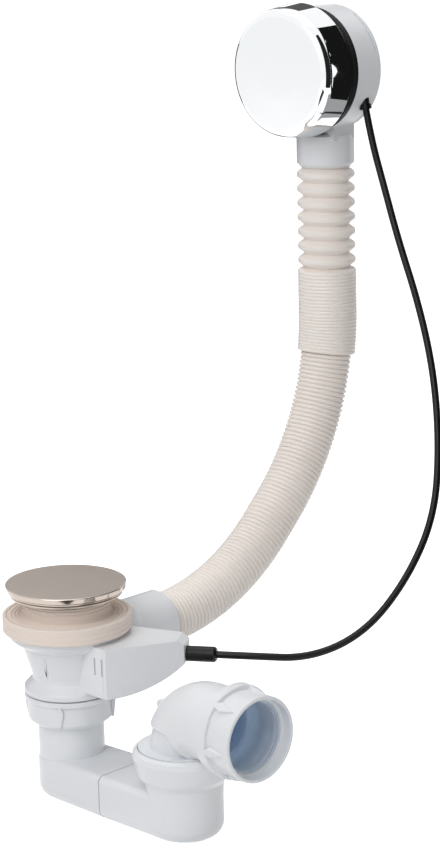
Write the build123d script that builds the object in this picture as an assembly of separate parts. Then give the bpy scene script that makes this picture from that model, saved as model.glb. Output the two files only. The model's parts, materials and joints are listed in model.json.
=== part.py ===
"""Bath waste and overflow with a cable-operated pop-up plug and a flat trap.

Millimetres, +Z up. The origin is on the waste axis at the bath's underside, where the
waste seal presses against it. +X points to the overflow, and the trap runs towards -Y.
"""

import os
from math import cos, radians, sin, tan

from build123d import *

# Waste: plug, seat and seal
cap_radius = 36.0
cap_top = 19.0
cap_skirt = 4.8
cap_wall = 1.4
cap_edge = 1.2
cap_step = 1.0
cap_taper = 0.8
plug_boss_radius = 6.0
plug_boss_bottom = 13.5
carrier_radius = 30.0
carrier_rim = 1.8
foot_radius = 6.5
foot_thickness = 3.0
foot_thread_radius = 2.5
foot_thread_length = 18.0
locknut_height = 3.6
locknut_flats = 8.5
seat_throat_top = 9.0
seat_radius = 33.5
seat_top = 13.6
seat_sheet = 1.2
skirt_radius = 24.2
skirt_bottom = -15.5
stem_radius = 5.0
stem_bottom = -30.0
guide_radius = 8.5
guide_top = -4.0
guide_bottom = -14.0
spoke_width = 2.6
seal_radius = 38.5
seal_bottom = -9.3
seal_top = 0.8
seal_ribs = (29.0, 31.2, 33.4)
rib_height = 0.8
neck_radius = 26.5
neck_top = 9.6
neck_wall = 1.9
neck_rings = (5.4, 7.4)
neck_ring_height = 1.0

# Waste body and its hose socket
body_rim_radius = 34.5
cone_top_radius = 26.0
cone_bottom_radius = 22.2
cone_bottom = -36.0
collar_radius = 27.2
collar_bottom = -47.0
thread_radius = 21.5
thread_bottom = -60.0
body_wall = 2.6
socket_radius = 19.2
socket_start = 46.0
socket_end = 76.0
socket_bore = 16.4
socket_depth = 16.0
socket_height = -23.5
duct_bore = 11.0

# Lift mechanism: a bell crank between the cable slider and the plug's foot
lift_angle = -57.5
plug_lift = 9.0
lever_pivot_reach = 27.0
lever_pivot_height = -36.5
lever_foot_arm = 22.5
lever_tip_radius = 2.5
lever_hub_radius = 3.2
lever_width = 6.0
lever_pin_radius = 1.5
crank_pin_radius = 2.0
cable_height = -22.3
foot_gap = 0.3
guide_rod_radius = 3.0
core_radius = 0.8
slider_half = 6.5
slider_height = 8.0
slider_nose = 5.0
slider_tail = 9.0

# Lift chamber, and the flat cover that closes its front
nose_reach = 72.5
nose_solid = 18.0
nose_half = 7.4
nose_low = -26.7
nose_bevel = (4.0, 3.0)
chamber_top = -12.0
chamber_floor = -42.6
chamber_start = 8.0
chamber_left = -10.0
chamber_corner = (chamber_left, -43.0)
chamber_root = (10.0, -12.0)
chamber_shoulder = (34.0, 16.0)
chamber_wall = 2.2
belly_start = 33.0
belly_middle = (57.0, -37.0)
cheek_thickness = 3.2
cheek_half = 4.5
cover_thickness = 2.2
cover_tongue = 1.5
cover_catch = 1.8
clip_slots = (-33.6, -39.6)
clip_slot_width = 1.2
clip_slot_low = -29.0
clip_slot_high = -18.5

# Cable; its route is in plan, with heights as shares of the overflow's height
cable_diameter = 4.4
cable_lead = 20.0
cable_route = (
    (87.0, -116.0, -0.086),
    (117.0, -133.0, -0.046),
    (147.0, -140.5, 0.046),
    (175.0, -138.5, 0.155),
    (195.0, -125.5, 0.284),
    (210.0, -109.0, 0.413),
    (221.0, -88.5, 0.536),
    (227.5, -66.5, 0.662),
    (233.2, -50.5, 0.764),
)
ferrule_radius = 4.65
ferrule_length = 18.0
ferrule_seat = 5.0

# Union and trap
nut_top = -48.0
nut_radius = 25.5
nut_rim_radius = 27.3
nut_shoulder = -64.4
nut_bottom = -66.8
union_ribs = 4
union_rib_turn = 34.6
union_rib_half = 1.8
union_seal_thickness = 2.4
tail_radius = 19.8
tail_flange_radius = 21.2
tail_flange = 2.0
pipe_wall = 2.6
trap_top = -86.0
trap_bottom = -113.5
trap_end_radius = 20.5
trap_joint = -46.0
trap_joint_half = 22.0
trap_joint_gap = 0.6
trap_edge = 4.0
trap_belly = 8.0
trap_spigot = 10.0
outlet_reach = 96.0
outlet_end_radius = 22.4

# Swivel elbow and pipe compression joint
cup_radius = 30.0
cup_top = -60.4
cup_recess = 4.8
outlet_turn = -4.3
elbow_height = -39.4
elbow_radius = 21.6
elbow_bore = 17.6
elbow_bend = 24.0
elbow_flange_radius = 26.4
elbow_end = 53.5
elbow_thread_radius = 22.6
elbow_seal_thickness = 2.4
hood_radius = 22.4
hood_height = -45.0
hood_corner = -10.7
hood_front = (-21.0, -62.0)
eyelet_angle = 29.0
eyelet_radius = 4.0
eyelet_bore = 1.8
eyelet_web = 3.0
spigot_radius = 21.2
spigot_bottom = -78.0
swivel_clearance = 0.08
pipe_socket_radius = 20.1
pipe_socket_depth = 18.0
packing_depth = 3.5
slip_ring_depth = 1.5
slip_ring_bore = 20.6
coupling_start = 42.0
coupling_rim_end = 49.2
coupling_rim_radius = 27.3
coupling_radius = 24.4
coupling_ring_start = 62.5
coupling_ring_radius = 25.0
coupling_end = 66.5
coupling_mouth_radius = 23.0
coupling_lip_radius = 21.4
coupling_lip = 1.5
coupling_ribs = 6
coupling_rib_turn = 10.0
coupling_rib_half = 2.2

# Overflow, placed from the outer face of the bath's end wall
wall_face = 215.5
overflow_height = 302.3
knob_gap = 2.0
knob_turn = 45.0
knob_depth = 22.5
knob_front_radius = 39.6
knob_back_radius = 41.9
knob_wall = 1.6
knob_edge = 6.0
knob_boss_radius = 9.0
spindle_radius = 5.0
spindle_end_radius = 4.0
spindle_key = 3.0
spindle_tail = 18.5
running_clearance = 0.05
clamp_gap = 1.5
clamp_depth = 5.5
clamp_plate = 2.5
clamp_radius = 32.0
clamp_rim = 3.0
clamp_arm_half = 6.0
bearing_lip = 0.5
bearing_reach = 6.5
screw_circle = 21.0
screw_radius = 2.4
screw_head_radius = 4.4
screw_head = 2.6
screw_reach = 13.5
screw_boss_radius = 4.6
overflow_seal_depth = 8.0
overflow_radius = 39.0
overflow_depth = 20.0
overflow_wall = 2.4
overflow_opening = 26.5
rear_cover_depth = 2.5
snap_slot_inset = 2.6
snap_slot_width = 1.0
snap_slots = ((38.0, 22.0), (-52.0, 12.0))
spout_offset = 19.5
spout_drop = 40.3
spout_length = 22.0
spout_radius = 18.3
spout_bore = 15.9
spout_bevel = 2.6
spout_neck_half = 17.0
drum_radius = 10.4
drum_depth = 7.6
nipple_radius = 1.8
nipple_floor = 1.0
gland_radius = 3.0
gland_collar = 0.7
gland_step = 0.4
gland_out = 3.5
gland_in = 9.0
gland_offset = (20.5, -32.9, -21.0)
gland_tilt = 13.0

# Overflow hose: bellows, ribbed cuff and corrugated length
hose_insert = 5.0
hose_corner_height = 74.0
hose_corner_reach = 131.6
hose_bends = (165.0, 140.0)
hose_spigot_radius = 15.7
hose_bore = 13.2
hose_wall = 1.3
bellows_crest = 18.4
bellows_trough = 14.4
bellows_count = 7
bellows_pitch = 9.2
cuff_radius = 18.8
cuff_groove = 0.6
cuff_length = 54.0
cuff_ribs = 13
rib_crest = 16.3
rib_trough = 14.9
rib_pitch = 5.0
hose_end_radius = 16.2

# Clearance between parts that move past each other
play = 0.3


def turned(outline):
    """Solid of revolution about Z from (radius, height) corners."""
    profile = make_face(Polyline(*[(r, 0, z) for r, z in outline], close=True))
    return revolve(profile, Axis.Z)


def rod(radius, start, end):
    """Round bar along Z between two heights."""
    return Pos(0, 0, start) * Cylinder(radius, end - start, align=(Align.CENTER, Align.CENTER, Align.MIN))


def tube(outer, inner, start, end):
    """Round sleeve along Z between two heights."""
    return rod(outer, start, end) - rod(inner, start, end)


def block(x_range, y_range, z_range):
    """Box given by its limits along each axis."""
    size = [high - low for low, high in (x_range, y_range, z_range)]
    centre = [(high + low) / 2 for low, high in (x_range, y_range, z_range)]
    return Pos(*centre) * Box(*size)


def hexagon(across_flats, start, end):
    """Hexagonal bar along Z between two heights."""
    flat = RegularPolygon(across_flats / 2, 6, major_radius=False)
    return Pos(0, 0, start) * extrude(flat, end - start)


# Places along the overflow axis, from the knob to the back of the body
knob_back = wall_face - knob_gap
knob_front = knob_back - knob_depth
clamp_back = wall_face - clamp_gap
clamp_front = clamp_back - clamp_depth
bearing_front = clamp_front - bearing_lip
bearing_back = wall_face + bearing_reach
spindle_front = knob_front + knob_wall + spindle_key
drum_start = bearing_back + play
spindle_back = drum_start + spindle_tail
overflow_front = wall_face + overflow_seal_depth
overflow_back = overflow_front + overflow_depth
screw_end = overflow_front + screw_reach
spout_x = wall_face + spout_offset
spout_top = overflow_height - spout_drop
spout_bottom = spout_top - spout_length
hose_top = spout_top - hose_insert
gland_point = (wall_face + gland_offset[0], gland_offset[1], overflow_height + gland_offset[2])

# Local frames: along the overflow axis, the lift mechanism's plane, and the outlet
overflow_frame = Plane(origin=(0, 0, overflow_height), x_dir=(0, 1, 0), z_dir=(1, 0, 0))
lift_dir = Vector(cos(radians(lift_angle)), sin(radians(lift_angle)), 0)
lift_frame = Plane(origin=(0, 0, 0), x_dir=lift_dir, z_dir=lift_dir.cross(Vector(0, 0, 1)))
cable_frame = Plane(origin=(0, 0, cable_height), x_dir=(0, 0, 1), z_dir=lift_dir)
trap_cup_frame = Pos(0, -outlet_reach, 0)
elbow_frame = trap_cup_frame * Rot(0, 0, outlet_turn)
outward = Plane(origin=(0, 0, elbow_height), x_dir=(1, 0, 0), z_dir=(0, -1, 0))
facing_out = Plane(origin=(0, 0, 0), x_dir=(0, 1, 0), z_dir=(1, 0, 0))


# Plug
def make_plug_cap():
    """Thin polished disc edge over a skirt that tapers inwards."""
    lip = cap_top - cap_skirt
    inside = cap_top - cap_wall
    skirt = cap_radius - cap_step
    shell = turned([
        (0, inside),
        (skirt - cap_wall - 0.6, inside),
        (skirt - cap_wall, inside - 0.6),
        (skirt - cap_taper - cap_wall, lip),
        (skirt - cap_taper, lip),
        (skirt, cap_top - cap_edge),
        (cap_radius - 0.3, cap_top - cap_edge),
        (cap_radius, cap_top - cap_edge + 0.3),
        (cap_radius, cap_top - 0.4),
        (cap_radius - 0.4, cap_top),
        (0, cap_top),
    ])
    return shell + rod(plug_boss_radius, plug_boss_bottom, inside)


carrier_top = cap_top - cap_wall
carrier_hub_radius = skirt_radius - seat_sheet - play - 0.4
carrier_hub_bottom = seat_throat_top + 0.6
foot_bottom = (lever_pivot_height + lever_tip_radius + foot_gap) - plug_lift / 2


def make_plug_carrier():
    disc = rod(carrier_radius, carrier_top - carrier_rim, carrier_top)
    hub = rod(carrier_hub_radius, carrier_hub_bottom, carrier_top - carrier_rim)
    stem = rod(stem_radius, stem_bottom, carrier_hub_bottom)
    boss_recess = rod(plug_boss_radius, plug_boss_bottom, carrier_top)
    thread = rod(foot_thread_radius, stem_bottom, stem_bottom + foot_thread_length)
    return disc + hub + stem - boss_recess - thread


def make_plug_seal():
    """Lip ring that stands just above the conical seat when the plug is shut."""
    top = carrier_top - carrier_rim
    slope = seat_top - seat_throat_top
    tip = carrier_hub_radius + slope
    return turned([
        (carrier_hub_radius, carrier_hub_bottom),
        (carrier_hub_radius + 0.4, carrier_hub_bottom),
        (tip, carrier_hub_bottom + slope - 0.4),
        (tip, top - 0.6),
        (carrier_hub_radius + 1.0, top),
        (carrier_hub_radius, top),
    ])


def make_plug_foot_screw():
    head_top = foot_bottom + foot_thickness
    head = rod(foot_radius, foot_bottom, head_top)
    shank = rod(foot_thread_radius, head_top, stem_bottom + foot_thread_length)
    return head + shank


def make_plug_locknut():
    nut = hexagon(locknut_flats, stem_bottom - locknut_height, stem_bottom)
    return nut - rod(foot_thread_radius, stem_bottom - locknut_height, stem_bottom)


# Waste seat and seal
throat_radius = skirt_radius - seat_sheet


def make_waste_flange():
    """Conical seat ring that clamps the bath's floor from above."""
    rise = seat_top - seat_throat_top
    return turned([
        (seat_radius, seat_top - seat_sheet),
        (seat_radius, seat_top - 0.3),
        (seat_radius - 0.3, seat_top),
        (throat_radius + rise, seat_top),
        (throat_radius, seat_throat_top),
        (skirt_radius, seat_throat_top + 0.5),
        (throat_radius + rise - 0.5, seat_top - seat_sheet),
    ])


def make_waste_skirt():
    """Sleeve under the seat ring, down into the waste body."""
    return turned([
        (throat_radius, seat_throat_top),
        (throat_radius, skirt_bottom),
        (skirt_radius, skirt_bottom),
        (skirt_radius, seat_throat_top + 0.5),
    ])


def make_stem_guide():
    """Cross inside the sleeve with a hub that the plug's stem slides in."""
    high = guide_top - 2.0
    spokes = block((-throat_radius, throat_radius), (-spoke_width / 2, spoke_width / 2), (guide_bottom, high))
    spokes += block((-spoke_width / 2, spoke_width / 2), (-throat_radius, throat_radius), (guide_bottom, high))
    spokes &= rod(throat_radius, guide_bottom, high)
    hub = rod(guide_radius, guide_bottom, guide_top)
    return spokes + hub - rod(stem_radius + running_clearance, guide_bottom, guide_top)


def make_waste_seal():
    """Collar through the bath's hole, on a ring with concentric sealing ribs."""
    floor = seal_top - rib_height
    ring = turned([
        (neck_radius - neck_wall, seal_bottom),
        (seal_radius - 0.9, seal_bottom),
        (seal_radius, seal_bottom + 0.9),
        (seal_radius, seal_top - 0.6),
        (seal_radius - 0.6, seal_top),
        (seal_radius - 2.2, seal_top),
        (seal_radius - 2.8, floor),
        (neck_radius, floor),
        (neck_radius, neck_top),
        (neck_radius - neck_wall, neck_top),
    ])
    for radius in seal_ribs:
        ring += turned([(radius - 0.6, floor), (radius + 0.6, floor), (radius, seal_top)])
    for height in neck_rings:
        ring += turned([
            (neck_radius, height),
            (neck_radius + 0.6, height + 0.3),
            (neck_radius + 0.6, height + neck_ring_height - 0.3),
            (neck_radius, height + neck_ring_height),
        ])
    return ring


# Lift chamber
def plan_point(along, across):
    """Plan point at a reach along the lift direction and an offset across it."""
    side = Vector(-lift_dir.Y, lift_dir.X, 0)
    spot = lift_dir * along + side * across
    return (spot.X, spot.Y)


nose_front = plan_point(nose_reach, -nose_half)
nose_back = plan_point(nose_reach, nose_half)
chamber_back = plan_point(*chamber_shoulder)
pivot_half_gap = lever_width / 2 + play + 1.2


def chamber_profile(grow):
    """Side view of the chamber in the lift plane, shrunk or grown all round."""
    right = nose_reach + grow
    top = chamber_top + grow
    floor = chamber_floor - grow
    low = nose_low - grow
    outline = Polyline((chamber_start, floor), (chamber_start, top), (right - nose_bevel[0], top),
                       (right, top - nose_bevel[1]), (right, low))
    belly = ThreePointArc((right, low), (belly_middle[0], belly_middle[1] - grow), (belly_start, floor))
    face = make_face([outline, belly, Line((belly_start, floor), (chamber_start, floor))])
    return lift_frame * extrude(face, nose_reach, both=True)


def chamber_plan(inset):
    """Plan of the chamber, drawn in by a wall's thickness."""
    side = (chamber_left, chamber_root[1])
    corners = [side, chamber_corner, nose_front, nose_back, chamber_back, chamber_root]
    face = make_face(Polyline(*[(x, y, 0) for x, y in corners], close=True))
    if inset:
        face = offset(face, -inset, kind=Kind.INTERSECTION)
    return extrude(face, -nose_reach)


def front_slab():
    """The chamber's flat front: where the cover lies."""
    start = Vector(*chamber_corner, 0)
    end = Vector(*nose_front, 0)
    along = (end - start).normalized()
    plane = Plane(origin=start, x_dir=along, z_dir=(0, 0, 1))
    length = (end - start).length
    margin = 3 * cover_thickness
    return plane * block((-margin, length + margin), (-margin, cover_thickness), (-nose_reach, 0))


def make_waste_body():
    rim_top = seal_bottom
    throat = cone_bottom_radius - body_wall
    outer = turned([
        (0, rim_top),
        (body_rim_radius, rim_top),
        (body_rim_radius, rim_top - 3.7),
        (body_rim_radius - 2.0, rim_top - 5.7),
        (cone_top_radius + 1.2, rim_top - 8.7),
        (cone_top_radius, rim_top - 13.3),
        (cone_bottom_radius, cone_bottom),
        (cone_bottom_radius, cone_bottom - 2.5),
        (collar_radius - 0.6, collar_bottom + 4.0),
        (collar_radius, collar_bottom + 3.0),
        (collar_radius, collar_bottom),
        (thread_radius, collar_bottom),
        (thread_radius, thread_bottom),
        (0, thread_bottom),
    ])
    waterway = turned([
        (0, rim_top),
        (skirt_radius, rim_top),
        (skirt_radius, skirt_bottom - 1.0),
        (skirt_radius - 1.6, skirt_bottom - 4.0),
        (throat, cone_bottom),
        (throat - 1.8, cone_bottom - 6.0),
        (throat - 1.8, thread_bottom),
        (0, thread_bottom),
    ])
    # Hose socket, stepping up from a duct that passes under the rim
    duct_radius = duct_bore + body_wall
    along_x = Plane(origin=(0, 0, socket_height), x_dir=(0, 0, 1), z_dir=(1, 0, 0))
    socket = along_x * turned([
        (0, 0),
        (duct_radius, 0),
        (duct_radius, seal_radius + 0.6),
        (socket_radius, socket_start),
        (socket_radius, socket_end - 1.0),
        (socket_radius - 1.0, socket_end),
        (0, socket_end),
    ])
    passage = along_x * turned([
        (0, 0),
        (duct_bore, 0),
        (duct_bore, socket_start + 2.0),
        (hose_bore, socket_end - socket_depth),
        (socket_bore, socket_end - socket_depth),
        (socket_bore, socket_end),
        (0, socket_end),
    ])
    # Lift chamber with its pocket, pivot cheeks, guide bore and cable seat
    chamber = (chamber_profile(0) & chamber_plan(0)) - front_slab()
    pocket = chamber_profile(-chamber_wall) & chamber_plan(chamber_wall)
    pocket -= cable_frame * rod(nose_reach, nose_reach - nose_solid, 2 * nose_reach)
    way_start = lever_pivot_reach - 13.0
    window = lift_frame * block((way_start, lever_pivot_reach + 13.0),
                                (lever_pivot_height - 5.5, chamber_top - chamber_wall),
                                (-pivot_half_gap, pivot_half_gap))
    slider_way = lift_frame * block((way_start, nose_reach - nose_solid),
                                    (cable_height - slider_height / 2 - play, chamber_top - chamber_wall),
                                    (-slider_half - play, slider_half + play))
    cheeks = lift_frame * block(
        (lever_pivot_reach - cheek_half, lever_pivot_reach + cheek_half),
        (chamber_floor, cable_height - slider_height / 2 - 1.0),
        (-pivot_half_gap - cheek_thickness, pivot_half_gap + cheek_thickness))
    pin_hole = lift_frame * (Pos(lever_pivot_reach, lever_pivot_height, 0)
                             * Cylinder(lever_pin_radius, 2 * (pivot_half_gap + cheek_thickness)))
    rod_bore = cable_frame * rod(guide_rod_radius + running_clearance, nose_reach - nose_solid - 2, nose_reach)
    cable_seat = cable_frame * rod(ferrule_radius, nose_reach - ferrule_seat, nose_reach)
    body = outer + socket + chamber
    body -= waterway + passage
    body -= pocket - turned_core()
    body += cheeks & chamber_profile(0)
    body -= window + slider_way + pin_hole + rod_bore + cable_seat
    for slot_y in clip_slots:
        body -= block((chamber_left - 1.0, chamber_left + chamber_wall + 0.2),
                      (slot_y - clip_slot_width / 2, slot_y + clip_slot_width / 2),
                      (clip_slot_low, clip_slot_high))
    return body


def turned_core():
    """Space of the waste's own cone, which the chamber's pocket stays out of."""
    return turned([
        (0, 0),
        (body_rim_radius, 0),
        (body_rim_radius, seal_bottom - 5.7),
        (cone_top_radius + 1.2, seal_bottom - 8.7),
        (cone_bottom_radius, cone_bottom),
        (collar_radius, collar_bottom),
        (0, collar_bottom),
    ])


def make_mechanism_cover():
    """Flat front of the lift chamber; a tongue behind the slotted wall carries two catches."""
    cover = chamber_profile(0) & chamber_plan(0) & front_slab()
    near = chamber_left + chamber_wall + play
    low = clip_slot_low + play
    high = clip_slot_high - play
    cover += block((near, near + cover_tongue), (chamber_corner[1] + 0.4, max(clip_slots) + 2.0), (low, high))
    for slot_y in clip_slots:
        half = clip_slot_width / 2 - 0.2
        cover += block((near - cover_catch, near), (slot_y - half, slot_y + half), (low, high))
    return cover


# Lever, slider and cable core
lever_swing = plug_lift / (2 * lever_foot_arm)
crank_arm = cable_height - lever_pivot_height
half_stroke = crank_arm * lever_swing
crank_pin_rest = lever_pivot_reach - half_stroke
slider_front = crank_pin_rest - slider_nose
slider_back = crank_pin_rest + slider_tail
slider_rod_end = nose_reach - nose_solid + 4.0
core_end = nose_reach + 6.0


def make_rocker_lever():
    """Bell crank at its shut position: the foot arm tilts down, the crank leans inwards."""
    pivot = Vector(lever_pivot_reach, lever_pivot_height)
    tip = pivot + Vector(-lever_foot_arm * cos(lever_swing), -lever_foot_arm * sin(lever_swing))
    pin = pivot + Vector(-crank_arm * sin(lever_swing), crank_arm * cos(lever_swing))
    plate = Sketch()
    for end, radius in ((tip, lever_tip_radius), (pin, crank_pin_radius + 0.8)):
        plate += Pos(end.X, end.Y) * Circle(radius)
        direction = (end - pivot).normalized()
        side = Vector(-direction.Y, direction.X)
        neck = 0.65 * radius
        corners = [pivot + side * 2.6, pivot - side * 2.6, end - side * neck, end + side * neck]
        plate += make_face(Polyline(*[(p.X, p.Y) for p in corners], close=True))
    plate += Pos(pivot.X, pivot.Y) * Circle(lever_hub_radius)
    lever = extrude(plate, lever_width / 2, both=True)
    lever += Pos(pivot.X, pivot.Y, 0) * Cylinder(lever_hub_radius, 2 * (pivot_half_gap - play))
    lever += Pos(pin.X, pin.Y, 0) * Cylinder(crank_pin_radius, 2 * (slider_half - 0.3))
    lever -= Pos(pivot.X, pivot.Y, 0) * Cylinder(lever_pin_radius + running_clearance, 4 * pivot_half_gap)
    return lift_frame * lever


def make_lever_pin():
    length = 2 * (pivot_half_gap + cheek_thickness)
    return lift_frame * (Pos(lever_pivot_reach, lever_pivot_height, 0) * Cylinder(lever_pin_radius, length))


def make_cable_slider():
    """Fork that takes the crank pin, with a guide rod behind it."""
    low = cable_height - slider_height / 2
    high = cable_height + slider_height / 2
    fork = block((slider_front, slider_back), (low, high), (-slider_half, slider_half))
    gap = lever_width / 2 + play
    fork -= block((slider_front, crank_pin_rest + 6.5), (low, high), (-gap, gap))
    pin_slot = crank_pin_radius + play
    fork -= block((crank_pin_rest - pin_slot, crank_pin_rest + pin_slot), (low, cable_height + pin_slot),
                  (-slider_half, slider_half))
    slider = lift_frame * fork
    slider += cable_frame * rod(guide_rod_radius, slider_back, slider_rod_end)
    return slider - cable_frame * rod(core_radius, slider_back, slider_rod_end)


def make_cable_core_end():
    return cable_frame * rod(core_radius, slider_back, core_end)


# Cable and its end sleeves
gland_dir = Vector(0, -sin(radians(gland_tilt)), -cos(radians(gland_tilt)))


def make_cable_ferrule_lower():
    end = nose_reach + ferrule_length
    sleeve = rod(ferrule_radius, nose_reach - ferrule_seat, end - 1.2)
    sleeve += turned([(0, end - 1.2), (ferrule_radius, end - 1.2), (ferrule_radius - 1.0, end), (0, end)])
    bore = rod(core_radius + play, nose_reach - ferrule_seat, end - 2.0)
    return cable_frame * (sleeve - bore)


def gland_frame():
    return Plane(origin=gland_point, x_dir=(1, 0, 0), z_dir=gland_dir)


def make_cable_ferrule_upper():
    stem = rod(gland_radius, -gland_in, gland_step)
    collar = rod(gland_radius + gland_collar, gland_step, gland_out)
    bore = rod(core_radius + play, -gland_in, gland_out - 2.0)
    return gland_frame() * (stem + collar - bore)


cable_start = lift_dir * (nose_reach + ferrule_length) + Vector(0, 0, cable_height)
cable_finish = Vector(*gland_point) + gland_dir * gland_out
cable_points = [
    cable_start,
    cable_start + lift_dir * cable_lead,
    *[Vector(x, y, share * overflow_height) for x, y, share in cable_route],
    cable_finish + gland_dir * cable_lead,
    cable_finish,
]


def cable_radii():
    """Largest tangent arc at each corner of the cable's route."""
    radii = []
    for before, here, after in zip(cable_points, cable_points[1:], cable_points[2:]):
        first = here - before
        second = after - here
        turn = radians(first.get_angle(second))
        radii.append(0.45 * min(first.length, second.length) / tan(turn / 2))
    return radii


def make_cable_sheath():
    radii = cable_radii()
    path = FilletPolyline(*cable_points, radius=radii)
    start = Plane(origin=cable_start, z_dir=path % 0)
    sheath = sweep(start * Circle(cable_diameter / 2), path=path)
    section = Circle(cable_diameter / 2).area
    print("cable length", round(path.length, 1), "smallest bend", round(min(radii), 1))
    print("cable volume over section times length", round(sheath.volume / (section * path.length), 4))
    return sheath


# Union
def leaf_rib(wide, tip, half, surface):
    """Pointed rib along Z on the +X side, widest near one end, standing on a surface."""
    swell = wide + 0.3 * (tip - wide)
    leaf = make_face(Polyline((0.4 * half, wide), (half, swell), (0, tip), (-half, swell), (-0.4 * half, wide),
                              close=True))
    return facing_out * (Pos(0, 0, surface - 1.0) * extrude(leaf, 4.0))


def make_union_nut():
    """Nut with a rim at the top and pointed ribs that run down from it."""
    nut = turned([
        (thread_radius + 0.2, nut_top),
        (nut_rim_radius - 0.8, nut_top),
        (nut_rim_radius, nut_top - 0.8),
        (nut_rim_radius, nut_top - 3.0),
        (nut_radius, nut_top - 4.2),
        (nut_radius, nut_shoulder + 1.0),
        (tail_radius + 1.4, nut_bottom),
        (tail_radius + 0.2, nut_bottom),
        (tail_radius + 0.2, nut_shoulder),
        (thread_radius + 0.2, nut_shoulder),
    ])
    high = nut_top - 3.0
    low = nut_shoulder + 0.5
    slope = turned([(0, high), (nut_rim_radius, high), (nut_rim_radius, high - 4.0), (nut_radius + 0.6, low), (0, low)])
    rib = leaf_rib(high, low, union_rib_half, nut_radius) & slope
    for index in range(union_ribs):
        nut += Rot(0, 0, union_rib_turn + index * 360 / union_ribs) * rib
    return nut


def make_union_seal():
    inner = cone_bottom_radius - body_wall - 1.8
    return tube(thread_radius, inner, thread_bottom - union_seal_thickness, thread_bottom)


# Trap
def trap_plan(end_radius, end_y, joint_half, joint_y, inset, low, high):
    """Prism with one round end, widening to the joint, between two heights."""
    radius = end_radius - inset
    half = joint_half - inset
    outward = 1 if end_y > joint_y else -1
    round_end = ThreePointArc((-radius, end_y), (0, end_y + outward * radius), (radius, end_y))
    sides = Polyline((radius, end_y), (half, joint_y), (-half, joint_y), (-radius, end_y))
    face = make_face([round_end, sides])
    return Pos(0, 0, low) * extrude(face, high - low)


def soften_trap(solid, joint_y, belly, edge):
    """Round the belly and the top, leaving the joint's own edges square."""
    def away(edges):
        return [e for e in edges if abs(e.center().Y - joint_y) > 0.5]
    bottom = away(solid.edges().group_by(Axis.Z)[0])
    solid = fillet(bottom, belly)
    top = away(solid.edges().group_by(Axis.Z)[-1])
    return fillet(top, edge)


def make_trap_inlet():
    inside = pipe_wall
    outer = trap_plan(trap_end_radius, 0, trap_joint_half, trap_joint, 0, trap_bottom, trap_top)
    outer = soften_trap(outer, trap_joint, trap_belly, trap_edge)
    cavity = trap_plan(trap_end_radius, 0, trap_joint_half, trap_joint, inside,
                       trap_bottom + inside, trap_top - inside)
    cavity = soften_trap(cavity, trap_joint, trap_belly - inside, trap_edge - inside)
    tail = rod(tail_radius, trap_top - trap_edge, nut_shoulder + tail_flange)
    tail += rod(tail_flange_radius, nut_shoulder, nut_shoulder + tail_flange)
    bore = rod(tail_radius - pipe_wall, trap_top - inside - 1.0, nut_shoulder + tail_flange)
    return outer + tail - cavity - bore


def make_trap_outlet():
    inside = pipe_wall
    start = trap_joint - trap_joint_gap
    outer = trap_plan(outlet_end_radius, -outlet_reach, trap_joint_half, start, 0, trap_bottom, trap_top)
    outer = soften_trap(outer, start, trap_belly, trap_edge)
    cavity = trap_plan(outlet_end_radius, -outlet_reach, trap_joint_half, start, 2 * inside,
                       trap_bottom + inside, trap_top - inside)
    well = trap_cup_frame * rod(spigot_radius - pipe_wall, trap_bottom + inside + 1.0, trap_top)
    # Spigot that pushes into the inlet half
    slip = 0.2
    taper = (trap_joint_half - trap_end_radius) / -trap_joint * trap_spigot
    half = trap_joint_half - inside - slip
    tongue_face = make_face(Polyline((-half, start), (-half + taper, start + trap_spigot),
                                     (half - taper, start + trap_spigot), (half, start), close=True))
    tongue_low = trap_bottom + inside + slip
    tongue_high = trap_top - inside - slip
    tongue = Pos(0, 0, tongue_low) * extrude(tongue_face, tongue_high - tongue_low)
    long_edges = tongue.edges().filter_by(lambda e: abs(e.tangent_at(0).Y) > 0.9).group_by(Axis.Z)
    tongue = fillet(long_edges[0], trap_belly - inside - slip)
    long_edges = tongue.edges().filter_by(lambda e: abs(e.tangent_at(0).Y) > 0.9).group_by(Axis.Z)
    tongue = fillet(long_edges[-1], trap_edge - inside - slip)
    throat = trap_joint_half - 2 * inside
    mouth = block((-throat, throat), (start - 3.0, start + trap_spigot),
                  (tongue_low + inside, tongue_high - inside))
    # Cup with a rolled rim that the elbow turns in
    cup = trap_cup_frame * turned([
        (0, trap_top - trap_edge),
        (outlet_end_radius, trap_top - trap_edge),
        (outlet_end_radius + 0.6, trap_top + 5.0),
        (cup_radius - 2.8, trap_top + 10.0),
        (cup_radius - 1.4, trap_top + 15.5),
        (cup_radius, cup_top - cup_recess),
        (cup_radius - 0.8, cup_top - 1.4),
        (cup_radius - 2.6, cup_top),
        (0, cup_top),
    ])
    bearing = spigot_radius + swivel_clearance
    recess = elbow_flange_radius + 0.4
    cup_bore = trap_cup_frame * turned([
        (0, cup_top),
        (recess, cup_top),
        (recess, cup_top - cup_recess),
        (bearing, cup_top - cup_recess),
        (bearing, spigot_bottom - play - elbow_seal_thickness),
        (spigot_radius - pipe_wall, spigot_bottom - play - elbow_seal_thickness),
        (spigot_radius - pipe_wall, trap_top - trap_edge - 4.0),
        (0, trap_top - trap_edge - 4.0),
    ])
    return outer + tongue + cup - cavity - well - mouth - cup_bore


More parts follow.
